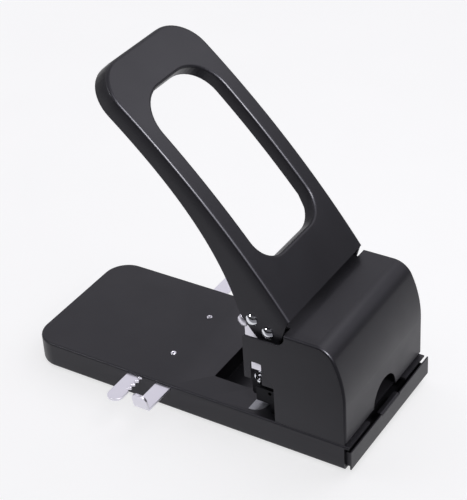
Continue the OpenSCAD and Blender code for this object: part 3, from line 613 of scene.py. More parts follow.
def ray_hit(outline: Sequence[Pair], centre: Pair, angle: float, tiny: float = 1e-9) -> Pair:
    """Finds where a ray from a point inside an outline meets it.

    Args:
        outline: The outline's corners.
        centre: Where the ray starts.
        angle: The ray's turn from the first axis.
        tiny: An edge is parallel to the ray below this, and a hit may lie this far past an edge's end.

    Returns:
        The place on the outline.
    """
    step_x, step_y = math.cos(angle), math.sin(angle)
    best = centre
    for (ax, ay), (bx, by) in zip(outline, list(outline[1:]) + [outline[0]]):
        edge_x, edge_y = bx - ax, by - ay
        across = step_x * edge_y - step_y * edge_x
        if abs(across) < tiny:
            continue
        reach = ((ax - centre[0]) * edge_y - (ay - centre[1]) * edge_x) / across
        share = ((ax - centre[0]) * step_y - (ay - centre[1]) * step_x) / across
        if reach > 0 and -tiny <= share <= 1 + tiny:
            best = (centre[0] + reach * step_x, centre[1] + reach * step_y)
    return best


# Planes of flat plates: across X with (Y, Z) outlines, and facing the rear with (X, Z) outlines
ACROSS_X = Matrix(((0, 0, 1, 0), (1, 0, 0, 0), (0, 1, 0, 0), (0, 0, 0, 1)))
FACING_REAR = Matrix(((1, 0, 0, 0), (0, 0, -1, 0), (0, 1, 0, 0), (0, 0, 0, 1)))


@dataclass
class Lever:
    """Pressed-steel handle: bowed face with a window, a turned-down skirt and two ears.

    It has its own coordinates: x across, u up the lever from its middle, and d in from the crown of its bow.
    """

    half_length: float = 106.75
    tilt_deg: float = 46.8
    bow_r: float = 790.0
    sheet_t: float = 2.0
    bend_r: float = 2.4
    lean_deg: float = 8.0
    roll_d: float = 8.0
    corner_r: float = 28.5
    skirt_d: float = 14.2
    skirt_power: float = 3.5
    skirt_from_top: float = 17.0
    window_half: float = 38.3
    window_low: float = -67.75
    window_high: float = 73.25
    window_top_r: float = 27.0
    window_foot_r: float = 20.0
    rim_d: float = 10.5
    ear_r: float = 11.0
    ear_rise: float = 22.4
    ear_set_back: float = 2.0
    foot_back: float = 16.9
    foot_up: float = 14.3
    edge_r: float = 0.35
    face_steps: int = 5
    bend_steps: int = 8
    wall_steps: int = 4
    ear_steps: int = 24
    rays: int = 120
    least_turn: float = 0.004
    corner_room: float = 0.006

    def __post_init__(self) -> None:
        """Works out the lever's own axes from its pivot and its packed width."""
        self.half_w = box_mm("lever")[1].x
        self.lean = math.radians(self.lean_deg)
        self.arc_d = self.bend_r * (1 - math.sin(self.lean))
        self.roll = self.bend_r * math.cos(self.lean) + self.wall_in(self.arc_d)
        tilt = math.radians(self.tilt_deg)
        self.up = Vector((0.0, -math.cos(tilt), math.sin(tilt)))
        self.inward = Vector((0.0, -math.sin(tilt), -math.cos(tilt)))
        axle = Vector(joint("lever_pivot")["pos_m"]) / MM
        foot = axle + Vector((0.0, self.foot_back, self.foot_up))
        self.middle = foot + self.up * self.half_length - self.inward * self.bow(self.half_length)
        self.pivot_u = (axle - self.middle).dot(self.up)
        self.pivot_d = (axle - self.middle).dot(self.inward)
        self.ear_u = self.pivot_u + self.ear_rise
        self.ear_front = self.pivot_d + self.ear_r - self.ear_set_back
        self.skirt_top = self.half_length - self.skirt_from_top

    def bow(self, u: float) -> float:
        """Returns how far the face drops at this distance from its middle."""
        return self.bow_r - math.sqrt(self.bow_r ** 2 - u ** 2)

    def wall_in(self, down: float) -> float:
        """Returns how far a turned-down wall stands back from its plane, this far below the face."""
        share = clamp((down - self.arc_d) / self.roll_d)
        return math.tan(self.lean) * self.roll_d * (1 - share) ** 2 / 2

    def wall_depths(self, depth: float) -> list[float]:
        """Spaces the rows of a turned-down wall.

        Args:
            depth: Where the wall ends, below the face.

        Returns:
            Depths of its rows: the rolled part, then the flat part.
        """
        flat_d, n = self.arc_d + self.roll_d, self.wall_steps
        rolled = [self.arc_d + self.roll_d * k / n for k in range(n + 1)]
        return rolled + [flat_d + (depth - flat_d) * k / n for k in range(1, n + 1)]

    def skirt(self, u: float) -> float:
        """Returns the skirt's depth below the face."""
        share = max(0.0, (self.skirt_top - u) / (self.skirt_top - self.ear_u))
        return self.skirt_d + (self.ear_front - self.bow(self.ear_u) - self.skirt_d) * share ** self.skirt_power

    def round_end(self, u: float) -> float:
        """Returns half the width of the ear's round end at this height."""
        return math.sqrt(max(0.0, self.ear_r ** 2 - (u - self.pivot_u) ** 2))

    def front(self, u: float) -> float:
        """Follows the skirt's and the ear's front edge.

        Args:
            u: Height on the lever.

        Returns:
            The edge's depth.
        """
        if u >= self.ear_u:
            return self.bow(u) + self.skirt(u)
        if u >= self.pivot_u:
            share = (self.ear_u - u) / (self.ear_u - self.pivot_u)
            return self.ear_front + self.ear_set_back * math.sin(share * math.pi / 2)
        return self.pivot_d + self.round_end(u)

    def back(self, u: float) -> float:
        """Follows the ear's rear edge: straight from the face's foot to its round end, which it touches.

        Args:
            u: Height on the lever, below the face's foot.

        Returns:
            The edge's depth.
        """
        start_u, start_d = -self.half_length, self.bow(self.half_length) + self.arc_d
        to_u, to_d = self.pivot_u - start_u, self.pivot_d - start_d
        reach = math.hypot(to_u, to_d)
        slant = math.atan2(to_d, to_u) + math.asin(self.ear_r / reach)
        run = math.sqrt(reach ** 2 - self.ear_r ** 2)
        touch_u, touch_d = start_u + run * math.cos(slant), start_d + run * math.sin(slant)
        if u >= touch_u:
            return start_d + (touch_d - start_d) * (start_u - u) / (start_u - touch_u)
        return self.pivot_d - self.round_end(u)

    def place(self, x: float, u: float, d: float) -> Point:
        """Turns the lever's own coordinates into the part's."""
        spot = self.middle + self.up * u + self.inward * d
        return x, spot.y, spot.z

    def outer_normal(self, x: float, u: float) -> Pair:
        """Finds the way out of the lever's outline.

        Args:
            x: Across the lever, on its flat face's rim.
            u: Up the lever, on its flat face's rim.

        Returns:
            The way out, across and up.
        """
        side = math.copysign(1.0, x)
        over_x = abs(x) - (self.half_w - self.corner_r)
        over_u = u - (self.half_length - self.corner_r)
        if over_u <= 0:
            return side, 0.0
        if over_x <= 0:
            return 0.0, 1.0
        size = math.hypot(over_x, over_u)
        return side * over_x / size, over_u / size

    def window_normal(self, x: float, u: float) -> Pair:
        """Finds the way into the window.

        Args:
            x: Across the lever, on the window's flat rim.
            u: Up the lever, on the window's flat rim.

        Returns:
            The way in, across and up.
        """
        side = math.copysign(1.0, x)
        high = u > (self.window_low + self.window_high) / 2
        r = self.window_top_r if high else self.window_foot_r
        over_x = abs(x) - (self.window_half - r)
        over_u = u - (self.window_high - r) if high else (self.window_low + r) - u
        if over_u <= 0:
            return -side, 0.0
        ends = -1.0 if high else 1.0
        if over_x <= 0:
            return 0.0, ends
        size = math.hypot(over_x, over_u)
        return -side * over_x / size, ends * over_u / size

    def bend(self, x: float, u: float, way: Pair, depth: float) -> list[Point]:
        """Returns one column of points round a bend and down to a depth below the face.

        Args:
            x: Across the lever, at the face's flat rim.
            u: Up the lever, at the face's flat rim.
            way: Direction of the turned-down wall.
            depth: Where the wall ends, below the face.

        Returns:
            Points from the face's rim to the wall's end.
        """
        section = arc((0.0, self.bend_r), self.bend_r, -90, -self.lean_deg, self.bend_steps)
        section += [(self.roll - self.wall_in(down), down) for down in self.wall_depths(depth)[1:]]
        column = []
        for out, down in section:
            v = u + way[1] * out
            column.append(self.place(x + way[0] * out, v, self.bow(v) + down))
        return column

    def ray_turns(self, rim: list[Pair], hole: list[Pair], centre: Pair) -> list[float]:
        """Spreads rays from the window's middle over the face: through each outline's points, and evenly between.

        Rays closer than least_turn are one, and none but their own comes within corner_room of the foot's corners.

        Args:
            rim: The face's flat outline, which starts with the foot's two corners.
            hole: The flat outline round the window.
            centre: The window's middle.

        Returns:
            The rays' turns in order, with the first one again at the end.
        """
        through = [math.atan2(u - centre[1], x - centre[0]) for x, u in rim + hole]
        even = [math.tau * k / self.rays - math.pi for k in range(self.rays)]
        turns: list[float] = []
        for turn in sorted(through + even):
            if not turns or turn - turns[-1] > self.least_turn:
                turns.append(turn)
        corners = through[:2]
        turns = [turn for turn in turns if min(abs(turn - corner) for corner in corners) > self.corner_room]
        turns = sorted(turns + corners)
        return turns + turns[:1]

    def ear(self, side: Side) -> list[list[Point]]:
        """Returns an ear's columns of points, from the face's foot to the round end.

        Args:
            side: The ear's side.

        Returns:
            The columns, each from the rear edge to the front edge.
        """
        face_d, lowest = self.bow(self.half_length), self.pivot_u - self.ear_r
        rows = 2 * self.wall_steps
        columns = []
        for k in range(self.ear_steps + 1):
            u = -self.half_length + (lowest + self.half_length) * math.sin(math.pi / 2 * k / self.ear_steps)
            near, far = self.back(u), self.front(u)
            depths = [near + (far - near) * j / rows for j in range(rows + 1)]
            if k == 0:
                # The rows of the wall above, so that the ear joins it
                depths = [face_d + down for down in self.wall_depths(far - face_d)]
            columns.append([self.place(side.value * (self.half_w - self.wall_in(d - face_d)), u, d) for d in depths])
        return columns

    def build(self, wardrobe: Wardrobe) -> None:
        """Makes the handle as one bent sheet.

        Args:
            wardrobe: Gives it its paint.
        """
        flat_w, r = self.half_w - self.roll, self.roll
        outer_r, foot_r, top_r = self.corner_r - r, self.window_foot_r + r, self.window_top_r + r
        rim = rounded((-flat_w, -self.half_length), (flat_w, self.half_length - r), (0, 0, outer_r, outer_r),
                      steps=14)
        hole = rounded((-self.window_half - r, self.window_low - r), (self.window_half + r, self.window_high + r),
                       (foot_r, foot_r, top_r, top_r), steps=12)
        centre = (0.0, (self.window_low + self.window_high) / 2)
        n = self.face_steps
        faces, walls, rims = [], [], []
        for turn in self.ray_turns(rim, hole, centre):
            ox, ou = ray_hit(rim, centre, turn)
            wx, wu = ray_hit(hole, centre, turn)
            spread = [(wx + (ox - wx) * k / n, wu + (ou - wu) * k / n) for k in range(n + 1)]
            faces.append([self.place(x, u, self.bow(u)) for x, u in spread])
            rims.append(self.bend(wx, wu, self.window_normal(wx, wu), self.rim_d))
            on_foot = ou < -self.half_length + SAME and abs(ox) < flat_w - SAME
            way = self.outer_normal(ox, ou)
            depth = self.front(ou) - self.bow(ou) if way[1] == 0 else self.skirt(ou)
            walls.append([] if on_foot else self.bend(ox, ou, way, depth))
        skin = Skin()
        for columns in (faces, rims, walls, *(self.ear(side) for side in Side)):
            skin.strip(columns)
        handle = skin.piece("handle_pressing", -self.inward)
        sheet_metal(handle, self.sheet_t, self.edge_r)
        wardrobe.dress(handle, Slot.PAINT, "lever", "lever")


@dataclass
class DieBar:
    """Bright strip with round rear corners, let into the table under the punches."""

    wide: float = 11.0
    end_r: float = 10.0

    def outline(self, margin: float) -> list[Pair]:
        """Draws the strip at the table's face.

        Args:
            margin: Grows the outline all round.

        Returns:
            The outline's points.
        """
        low, high = box_mm("die_bar")
        middle, half, r = (low.y + high.y) / 2, self.wide / 2 + margin, self.end_r + margin
        return rounded((low.x - margin, middle - half), (high.x + margin, middle + half), (0, 0, r, r))


@dataclass
class BasePan:
    """Pressed table with turned-down flanges, a hem under them, a well, a die seat and slots for the guides.

    The stops at between_y only keep the flanges' faces short.
    """

    corner_r: float = 20.0
    sheet_t: float = 2.0
    bend_r: float = 1.6
    hem_bend_r: float = 2.4
    hem_w: float = 12.0
    waist_z: float = 11.0
    flange_short: float = 4.0
    well_half: float = 35.0
    well_y: Pair = (12.0, 44.0)
    well_corner_r: float = 1.5
    seat_ease: float = 0.15
    notch_half: float = 28.0
    notch_deep: float = 6.0
    slot_z: Pair = (18.5, 21.0)
    slot_ease: float = 0.3
    edge_r: float = 0.3
    between_y: tuple[float, ...] = (100.0, 60.0, 20.0, -80.0)
    bend_steps: int = 5
    hem_steps: int = 3
    corner_steps: int = 14

    def __post_init__(self) -> None:
        """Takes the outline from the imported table."""
        low, high = box_mm("base_pan")
        self.half_w, self.foot_z, self.top_z = high.x, low.z, high.z
        self.front_y, self.rear_y = low.y, high.y
        self.flange_y = self.rear_y - self.flange_short
        self.slots = []
        for side in Side:
            bar_low, bar_high = box_mm(f"{side.word()}_guide_bar")
            self.slots.append((bar_low.y - self.slot_ease, bar_high.y + self.slot_ease))

    def path(self) -> list[Stop]:
        """Goes round the rim.

        Returns:
            Stops from the right rear round the front to the left rear.
        """
        turn_y = self.front_y + self.corner_r
        stops = {y for pair in self.slots for y in pair} | {turn_y, self.flange_y, self.rear_y, *self.between_y}
        rim = [(self.half_w, y, -1.0, 0.0) for y in sorted(stops, reverse=True)]
        middle_x, r = self.half_w - self.corner_r, self.corner_r
        for x, y in arc((middle_x, turn_y), r, 0, -90, self.corner_steps)[1:]:
            rim.append((x, y, (middle_x - x) / r, (turn_y - y) / r))
        return rim + [(-x, y, -way_x, way_y) for x, y, way_x, way_y in reversed(rim)]

    def rows(self) -> list[Pair]:
        """Draws the flange's section.

        Returns:
            Inset and height from the table's flat down to the hem's inner edge.
        """
        bend = arc((self.bend_r, self.top_z - self.bend_r), self.bend_r, 90, 180, self.bend_steps)
        wall = [(0.0, z) for z in (self.slot_z[1], self.slot_z[0], self.waist_z)]
        hem = arc((self.hem_bend_r, self.foot_z + self.hem_bend_r), self.hem_bend_r, 180, 270, self.hem_steps)
        return bend + wall + hem + [(self.sheet_t + self.hem_w, self.foot_z)]

    def has_metal(self, one: Stop, two: Stop, row: int) -> bool:
        """Says whether a cell of the flange is there.

        Args:
            one: A stop of the rim.
            two: The next stop.
            row: The section's row above the cell.

        Returns:
            False in the guides' slots, and below them at the short rear ends.
        """
        if one[0] != two[0]:
            return True
        slot_row = self.bend_steps + 1
        low_y, high_y = sorted((one[1], two[1]))
        if high_y > self.flange_y + SAME:
            return row < slot_row
        return row != slot_row or not any(a - SAME <= low_y and high_y <= b + SAME for a, b in self.slots)

    def build(self, wardrobe: Wardrobe) -> None:
        """Makes the table as one bent sheet.

        Args:
            wardrobe: Gives it its paint.
        """
        path, rows = self.path(), self.rows()
        columns = [[(x + way_x * inset, y + way_y * inset, z) for inset, z in rows] for x, y, way_x, way_y in path]
        rear, deep, z = self.rear_y, self.rear_y - self.notch_deep, self.top_z
        notch = [(-self.notch_half, rear), (-self.notch_half, deep), (self.notch_half, deep), (self.notch_half, rear)]
        well = rounded((-self.well_half, self.well_y[0]), (self.well_half, self.well_y[1]),
                       (self.well_corner_r,) * 4, steps=4)
        seat = DieBar().outline(self.seat_ease)
        skin = Skin()
        skin.fill([column[0] for column in columns] + [(x, y, z) for x, y in notch],
                  *([(x, y, z) for x, y in reversed(hole)] for hole in (well, seat)))
        skin.strip(columns, lambda column, row: self.has_metal(path[column], path[column + 1], row))
        table = skin.piece("table_pressing", (0, 0, 1))
        sheet_metal(table, self.sheet_t, self.edge_r)
        wardrobe.dress(table, Slot.PAINT, "frame", "base_pan")


@dataclass
class Housing:
    """The head's cheeks and the one-piece cover over its top and back."""

    cover_t: float = 1.2
    side_t: float = 1.5
    small_r: float = 16.5
    large_r: float = 87.0
    bend_down: float = 45.7
    front_y: float = 88.3
    hem_r: float = 2.0
    tongue_half: float = 49.5
    middle_half: float = 20.0
    notch_r: float = 17.0
    plate_rise: float = 69.5
    nose_r: float = 2.0
    throat_rise: float = 32.6
    throat_back: float = 23.7
    arch_in: float = 5.9
    arch_w: float = 11.0
    arch_rise: float = 15.4
    arch_r: float = 5.0
    arch_cut: float = 7.0
    fillet_r: float = 8.0
    edge_r: float = 0.3

    def __post_init__(self) -> None:
        """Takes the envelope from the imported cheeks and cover."""
        self.low, self.high = box_mm("rear_cover")
        self.plate_low, self.plate_high = box_mm("right_side_plate")
        self.table_z = box_mm("base_pan")[1].z
        self.plate_top = self.table_z + self.plate_rise
        self.bend_z = self.high.z - self.bend_down

    def crown(self, inset: float) -> list[Pair]:
        """Draws the cover's section in Y and Z from its front edge over the top to the foot of its bend.

        Args:
            inset: Distance inside the cover's outer face.

        Returns:
            Points along the section.
        """
        big, small, top = self.large_r, self.small_r, self.high.z
        big_y, small_z = self.high.y - big, top - small
        small_y = big_y + math.sqrt((big - small) ** 2 - (small_z - self.bend_z) ** 2)
        meet_deg = math.degrees(math.atan2(small_z - self.bend_z, small_y - big_y))
        section = [(self.front_y, top - inset)]
        section += arc((small_y, small_z), small - inset, 90, meet_deg, steps=14)
        return section + arc((big_y, self.bend_z), big - inset, meet_deg, 0, steps=16)[1:]

    def cheek_outline(self) -> list[Pair]:
        """Draws a cheek, with the paper's throat and the arch.

        Returns:
            Its outline in Y and Z.
        """
        inset, fore, nose, fillet = self.cover_t, self.plate_low.y, self.nose_r, self.fillet_r
        throat_z, throat_y = self.table_z + self.throat_rise, fore + self.throat_back
        arch_y0, arch_y1 = fore + self.arch_in, fore + self.arch_in + self.arch_w
        arch_z = throat_z + self.arch_rise
        outline = [(throat_y, self.table_z), (self.high.y - inset, self.table_z)]
        outline += reversed(self.crown(inset))
        outline += arc((self.front_y - fillet, self.plate_top + fillet), fillet, 0, -90, steps=8)
        outline += arc((fore + nose, self.plate_top - nose), nose, 90, 180, steps=4)
        outline += [(fore, throat_z), (arch_y0, throat_z), (arch_y0, arch_z)]
        outline += arc((arch_y1 - self.arch_r, arch_z - self.arch_r), self.arch_r, 90, 0, steps=8)
        return outline + [(arch_y1, throat_z + self.arch_cut), (throat_y, throat_z)]

    def cover(self) -> bpy.types.Object:
        """Bends the cover, with its hems, its tongue under the lever's foot and its finger notch.

        Returns:
            The cover.
        """
        half, r, rear, foot = self.high.x - self.hem_r, self.hem_r, self.high.y, self.low.z
        stops = (-self.tongue_half, -self.middle_half, self.middle_half, self.tongue_half)
        hem = arc((half, r), r, -90, 0, steps=6)
        across = [(-x, inset) for x, inset in reversed(hem)] + [(x, 0.0) for x in stops] + hem
        skin = Skin()
        skin.strip([[(x, y, z) for y, z in self.crown(inset)] for x, inset in across])
        for side in Side:
            skin.strip([[(side.value * x, rear - inset, z) for z in (self.bend_z, foot)] for x, inset in hem])
        skin.strip([[(x, y, self.high.z) for y in (self.front_y, self.low.y)] for x in stops])
        notch = arc((0.0, foot), self.notch_r, 0, 180, steps=24)
        wall = [(half, self.bend_z), (half, foot), *notch, (-half, foot), (-half, self.bend_z)]
        wall += [(x, self.bend_z) for x in stops]
        skin.fill([(x, rear, z) for x, z in wall])
        made = skin.piece("cover_pressing", (0, 0, 1))
        sheet_metal(made, self.cover_t, self.edge_r)
        return made

    def build(self, wardrobe: Wardrobe) -> None:
        """Makes both cheeks and the cover.

        Args:
            wardrobe: Gives them their paint.
        """
        for side in Side:
            middle = Matrix.Translation((side.value * (self.plate_high.x - self.side_t / 2), 0, 0)) @ ACROSS_X
            cheek = plate(f"{side.word()}_cheek", self.cheek_outline(), self.side_t, self.edge_r, middle)
            wardrobe.dress(cheek, Slot.PAINT, "frame", f"{side.word()}_side_plate")
        wardrobe.dress(self.cover(), Slot.PAINT, "frame", "rear_cover")


@dataclass
class ChipTray:
    """Pull-out tray: a folded bin behind a sheet lip with a finger pull folded in at its top."""

    lip_t: float = 1.2
    lip_foot: float = 5.2
    wall_t: float = 1.0
    pull_half: float = 13.5
    pull_ease: float = 0.3
    pull_d: float = 3.4
    pull_r: float = 1.8
    bin_top: float = 16.5
    bin_half: float = 57.4
    bin_fold_r: float = 1.6
    edge_r: float = 0.25
    bin_edge_r: float = 0.15

    def __post_init__(self) -> None:
        """Takes the tray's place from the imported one."""
        self.low, self.high = box_mm("chip_tray")
        self.dip = self.high.z - self.pull_r
        self.bin_rear = self.high.y - self.lip_t

    def lip(self) -> bpy.types.Object:
        """Cuts the lip, with a gap for the finger pull.

        Returns:
            The lip.
        """
        low, high, gap = self.low, self.high, self.pull_half + self.pull_ease
        outline = [(low.x, self.lip_foot), (high.x, self.lip_foot), (high.x, high.z), (gap, high.z), (gap, self.dip),
                   (-gap, self.dip), (-gap, high.z), (low.x, high.z)]
        middle = Matrix.Translation((0, high.y - self.lip_t / 2, 0)) @ FACING_REAR
        return plate("tray_lip", outline, self.lip_t, self.edge_r, middle)

    def pull(self) -> bpy.types.Object:
        """Folds the finger pull.

        Returns:
            The pull.
        """
        fold = arc((self.high.y - self.pull_r, self.dip), self.pull_r, 0, 90, steps=6)
        fold.append((self.bin_rear - self.pull_d, self.high.z))
        skin = Skin()
        skin.strip([[(x, y, z) for y, z in fold] for x in (-self.pull_half, 0.0, self.pull_half)])
        made = skin.piece("tray_pull", (0, 1, 0))
        sheet_metal(made, self.lip_t, self.edge_r)
        return made

    def bin(self) -> bpy.types.Object:
        """Folds the bin.

        Returns:
            The bin.
        """
        half, r = self.bin_half, self.bin_fold_r
        fold = [(-half, self.bin_top)] + arc((r - half, self.low.z + r), r, 180, 270, steps=3)
        section = fold + [(-x, z) for x, z in reversed(fold)]
        ends = [[(x, y, z) for x, z in section] for y in (self.low.y, self.bin_rear)]
        skin = Skin()
        skin.strip(ends)
        for end in ends:
            skin.fill(end)
        made = skin.piece("tray_bin", (-1, 0, 0))
        sheet_metal(made, self.wall_t, self.bin_edge_r)
        return made

    def build(self, wardrobe: Wardrobe) -> None:
        """Makes the lip, its finger pull and the bin, and dresses them."""
        for made in (self.lip(), self.pull(), self.bin()):
            wardrobe.dress(made, Slot.PAINT, "chip_tray", "chip_tray")


@dataclass
class GuideBar:
    """Paper guide: a flat zinc-plated bar with rack teeth along one edge and a flap folded up at its end.

    Both guides are drawn as the right one, and the left one is then turned round about the pinion.
    """

    side: Side
    thickness: float = 2.0
    wide: float = 12.8
    flap_x: float = 88.0
    flap_lean_deg: float = 12.0
    flap_corner_r: float = 5.5
    flap_short: float = 0.2
    flap_inset: float = 0.1
    fold_r: float = 2.6
    tail_corner_r: float = 6.0
    gear_module: float = 1.5
    tip_share: float = 0.73
    root_share: float = 0.93
    tooth_numbers: range = range(-8, 17)
    pressure_deg: float = 25.0
    backlash: float = 0.16
    edge_r: float = 0.2

    def __post_init__(self) -> None:
        """Takes the right bar's place, and the turn that carries it to its own side."""
        low, high = box_mm("right_guide_bar")
        self.near, self.tail, self.foot, self.top = low.y, low.x, low.z, high.z
        self.fold_x = self.flap_x + self.thickness / 2 - self.fold_r
        self.turn = Matrix.Identity(4)
        if self.side is Side.LEFT:
            pinion_y = (box_mm("left_guide_bar")[0].y + high.y) / 2
            self.turn = Matrix.Translation((0, 2 * pinion_y, 0)) @ Matrix.Rotation(math.pi, 4, "Z")

    def rack(self) -> list[Pair]:
        """Cuts the toothed edge.

        Returns:
            Its points from the flap's end to the tail's.
        """
        pitch = math.pi * self.gear_module
        slant = math.tan(math.radians(self.pressure_deg))
        rise, root = self.tip_share * self.gear_module, self.root_share * self.gear_module
        half = pitch / 4 + self.backlash / 2
        mouth, floor, deep = half + rise * slant, half - root * slant, self.near + rise + root
        edge: list[Pair] = []
        for k in self.tooth_numbers:
            x = -k * pitch
            edge += [(x + mouth, self.near), (x + floor, deep), (x - floor, deep), (x - mouth, self.near)]
        return edge

    def tail_corner(self, y: float, start_deg: float, end_deg: float) -> list[Pair]:
        """Returns one round corner of the tail, about this Y."""
        return arc((self.tail + self.tail_corner_r, y), self.tail_corner_r, start_deg, end_deg, steps=10)

    def bar(self) -> bpy.types.Object:
        """Cuts the flat bar with its rack and its round tail.

        Returns:
            The bar.
        """
        r, far = self.tail_corner_r, self.near + self.wide
        outline = [(self.fold_x, self.near)] + self.rack() + self.tail_corner(self.near + r, 270, 180)
        outline += self.tail_corner(far - r, 180, 90) + [(self.fold_x, far)]
        middle = self.turn @ Matrix.Translation((0, 0, self.foot + self.thickness / 2))
        return plate(f"{self.side.word()}_guide_rack", outline[::-1], self.thickness, self.edge_r, middle)

    def flap(self) -> bpy.types.Object:
        """Folds the flap up from the bar's end and rounds its upper corners.

        Returns:
            The flap.
        """
        fold = arc((self.fold_x, self.foot + self.fold_r), self.fold_r, -90, -self.flap_lean_deg, steps=8)
        section = [(x, z, self.flap_inset) for x, z in fold]
        base_x, base_z = fold[-1]
        slant, r = math.radians(90 - self.flap_lean_deg), self.flap_corner_r
        reach = (self.top - self.flap_short - base_z) / math.sin(slant)
        for pull, up in arc((r, reach - r), r, 180, 90, steps=6):
            section.append((base_x + math.cos(slant) * up, base_z + math.sin(slant) * up, self.flap_inset + pull))
        skin = Skin()
        skin.strip([[self.turn @ Vector((x, self.near + inset + (self.wide - 2 * inset) * share, z))
                     for x, z, inset in section] for share in (0.0, 0.5, 1.0)])
        made = skin.piece(f"{self.side.word()}_guide_flap", self.turn.to_3x3() @ Vector((0.0, 0.0, -1.0)))
        sheet_metal(made, self.thickness, self.edge_r)
        return made

    def build(self, wardrobe: Wardrobe) -> None:
        """Makes the bar and its flap, and dresses them."""
        for made in (self.bar(), self.flap()):
            wardrobe.dress(made, Slot.ZINC, f"{self.side.word()}_guide", f"{self.side.word()}_guide_bar")


@dataclass
class RoundHead:
    """A domed head on the end of a rod: radius, height, the flat ring under it and its eased rim, in mm."""

    radius: float
    height: float
    ring: float = 0.5
    ease: float = 0.15
    steps: int = 8

    def profile(self, base: float, outward: float) -> list[Pair]:
        """Returns the head's section from its seat to its crown.

        Args:
            base: Where its seat lies along the rod.
            outward: 1 or -1, the way that it faces.

        Returns:
            Distance along the rod and radius of each ring.
        """
        rise = self.height - self.ring
        ball = (self.radius ** 2 + rise ** 2) / (2 * rise)
        half = math.asin(min(1.0, self.radius / ball))
        section = [(base, self.radius - self.ease), (base + outward * self.ease, self.radius)]
        for k in range(self.steps + 1):
            turn = half * (1 - k / self.steps)
            up = self.ring + rise - ball * (1 - math.cos(turn))
            section.append((base + outward * up, ball * math.sin(turn)))
        return section


@dataclass
class HeadedRod:
    """A rod across the head, with plated heads outside the lever's ears or the yokes."""

    node: str
    body: str
    slot: Slot
    shaft_r: float
    head: RoundHead

    def build(self, wardrobe: Wardrobe) -> None:
        """Turns the rod with both its heads.

        Args:
            wardrobe: Gives it its plate.
        """
        low, high = box_mm(self.node)
        axis, seat = (low + high) / 2, high.x - self.head.height
        left, right = self.head.profile(-seat, -1.0), self.head.profile(seat, 1.0)
        section = left[::-1] + [(-seat, self.shaft_r), (seat, self.shaft_r)] + right
        skin = Skin()
        lathe(skin, section, Matrix.Translation((0, axis.y, axis.z)) @ Matrix.Rotation(math.pi / 2, 4, "Y"))
        rod = skin.piece(f"{self.node}_turned", (-1, 0, 0))
        wardrobe.dress(rod, self.slot, self.body, self.node)


@dataclass
class TableRivets:
    """Two tubular rivets: a rolled collar round a shallow dimple."""

    head_r: float = 2.3
    shank_r: float = 1.6
    collar: float = 0.7
    collar_steps: int = 8
    bore_r: float = 0.9
    dimple: tuple[Pair, ...] = ((-0.6, 0.8), (-0.8, 0.0))

    def build(self, wardrobe: Wardrobe) -> None:
        """Makes both rivets in one piece.

        Args:
            wardrobe: Gives them their plate.
        """
        low, high = box_mm("channel_rivets")
        top, half = box_mm("base_pan")[1].z, (self.head_r - self.bore_r) / 2
        section: list[Pair] = [(low.z, self.shank_r), (top, self.shank_r), (top, self.head_r)]
        for k in range(1, self.collar_steps):
            turn = math.pi * k / self.collar_steps
            section.append((top + self.collar * math.sin(turn), self.head_r - half + half * math.cos(turn)))
        section += [(top + rise, r) for rise, r in self.dimple]
        skin = Skin()
        for side in Side:
            x = side.value * (high.x - self.head_r)
            lathe(skin, section, Matrix.Translation((x, (low.y + high.y) / 2, 0)), steps=28)
        rivets = skin.piece("table_rivets", (1, 0, 0))
        wardrobe.dress(rivets, Slot.ZINC, "frame", "channel_rivets")


@dataclass
class ReturnSprings:
    """Two wound coil springs round the punches, whose first and last turns lie flat as ground ends do."""

    wire: float = 1.4
    turns: int = 7
    flat_turns: float = 0.6
    steps: int = 28
    sides: int = 10

    def coil(self, centre: Vector, coil_r: float, height: float) -> list[list[Vector]]:
        """Winds one spring.

        Args:
            centre: Middle of its lowest turn.
            coil_r: Radius of the wire's middle line.
            height: From the lowest turn's middle line to the highest's.

        Returns:
            Rings of points round the wire.
        """
        rings = []
        count, flat = self.turns * self.steps, self.flat_turns / self.turns
        for k in range(count + 1):
            share = k / count
            angle = math.tau * self.turns * share
            out = Vector((math.cos(angle), math.sin(angle), 0.0))
            up = Vector((0.0, 0.0, 1.0))
            spot = centre + up * height * clamp((share - flat) / (1 - 2 * flat)) + out * coil_r
            around = [math.tau * (j % self.sides) / self.sides for j in range(self.sides + 1)]
            rings.append([spot + (out * math.cos(t) + up * math.sin(t)) * (self.wire / 2) for t in around])
        return rings

    def build(self, wardrobe: Wardrobe) -> None:
        """Winds both springs and gives the piece a mesh of its own.

        Args:
            wardrobe: Gives them their finish.
        """
        low, high = box_mm("return_springs")
        punch_low, punch_high = box_mm("right_punch")
        y, half_x = (low.y + high.y) / 2, (punch_low.x + punch_high.x) / 2
        skin = Skin()
        for side in Side:
            centre = Vector((side.value * half_x, y, low.z + self.wire / 2))
            rings = self.coil(centre, (high.y - low.y - self.wire) / 2, high.z - low.z - self.wire)
            skin.strip(rings)
            skin.face(rings[0][:-1])
            skin.face(rings[-1][:-1])
        springs = skin.piece("wound_springs", (0, 0, 1))
        # The springs' near-black steel carries painted shade for the dark inside of the head
        wardrobe.dress(springs, Slot.OXIDE, "frame", "return_springs")
        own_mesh(springs)


@dataclass(frozen=True)
class Lamp:
    """A soft box or a strip: where it stands, where it looks, its size in metres and its power.

    A strip that only draws lines along the bends is seen in mirrored light alone.
    """

    name: str
    place: Point
    aim: Point
    size: Pair
    watts: float
    mirrored_only: bool = False

    def build(self) -> None:
        """Hangs the lamp."""
        light = bpy.data.lights.new(self.name, "AREA")
        light.shape = "RECTANGLE"
        light.size, light.size_y = self.size
        light.energy = self.watts
        lamp = bpy.data.objects.new(self.name, light)
        lamp.location = self.place
        lamp.rotation_euler = (Vector(self.aim) - Vector(self.place)).to_track_quat("-Z", "Y").to_euler()
        lamp.visible_diffuse = not self.mirrored_only
        bpy.context.scene.collection.objects.link(lamp)


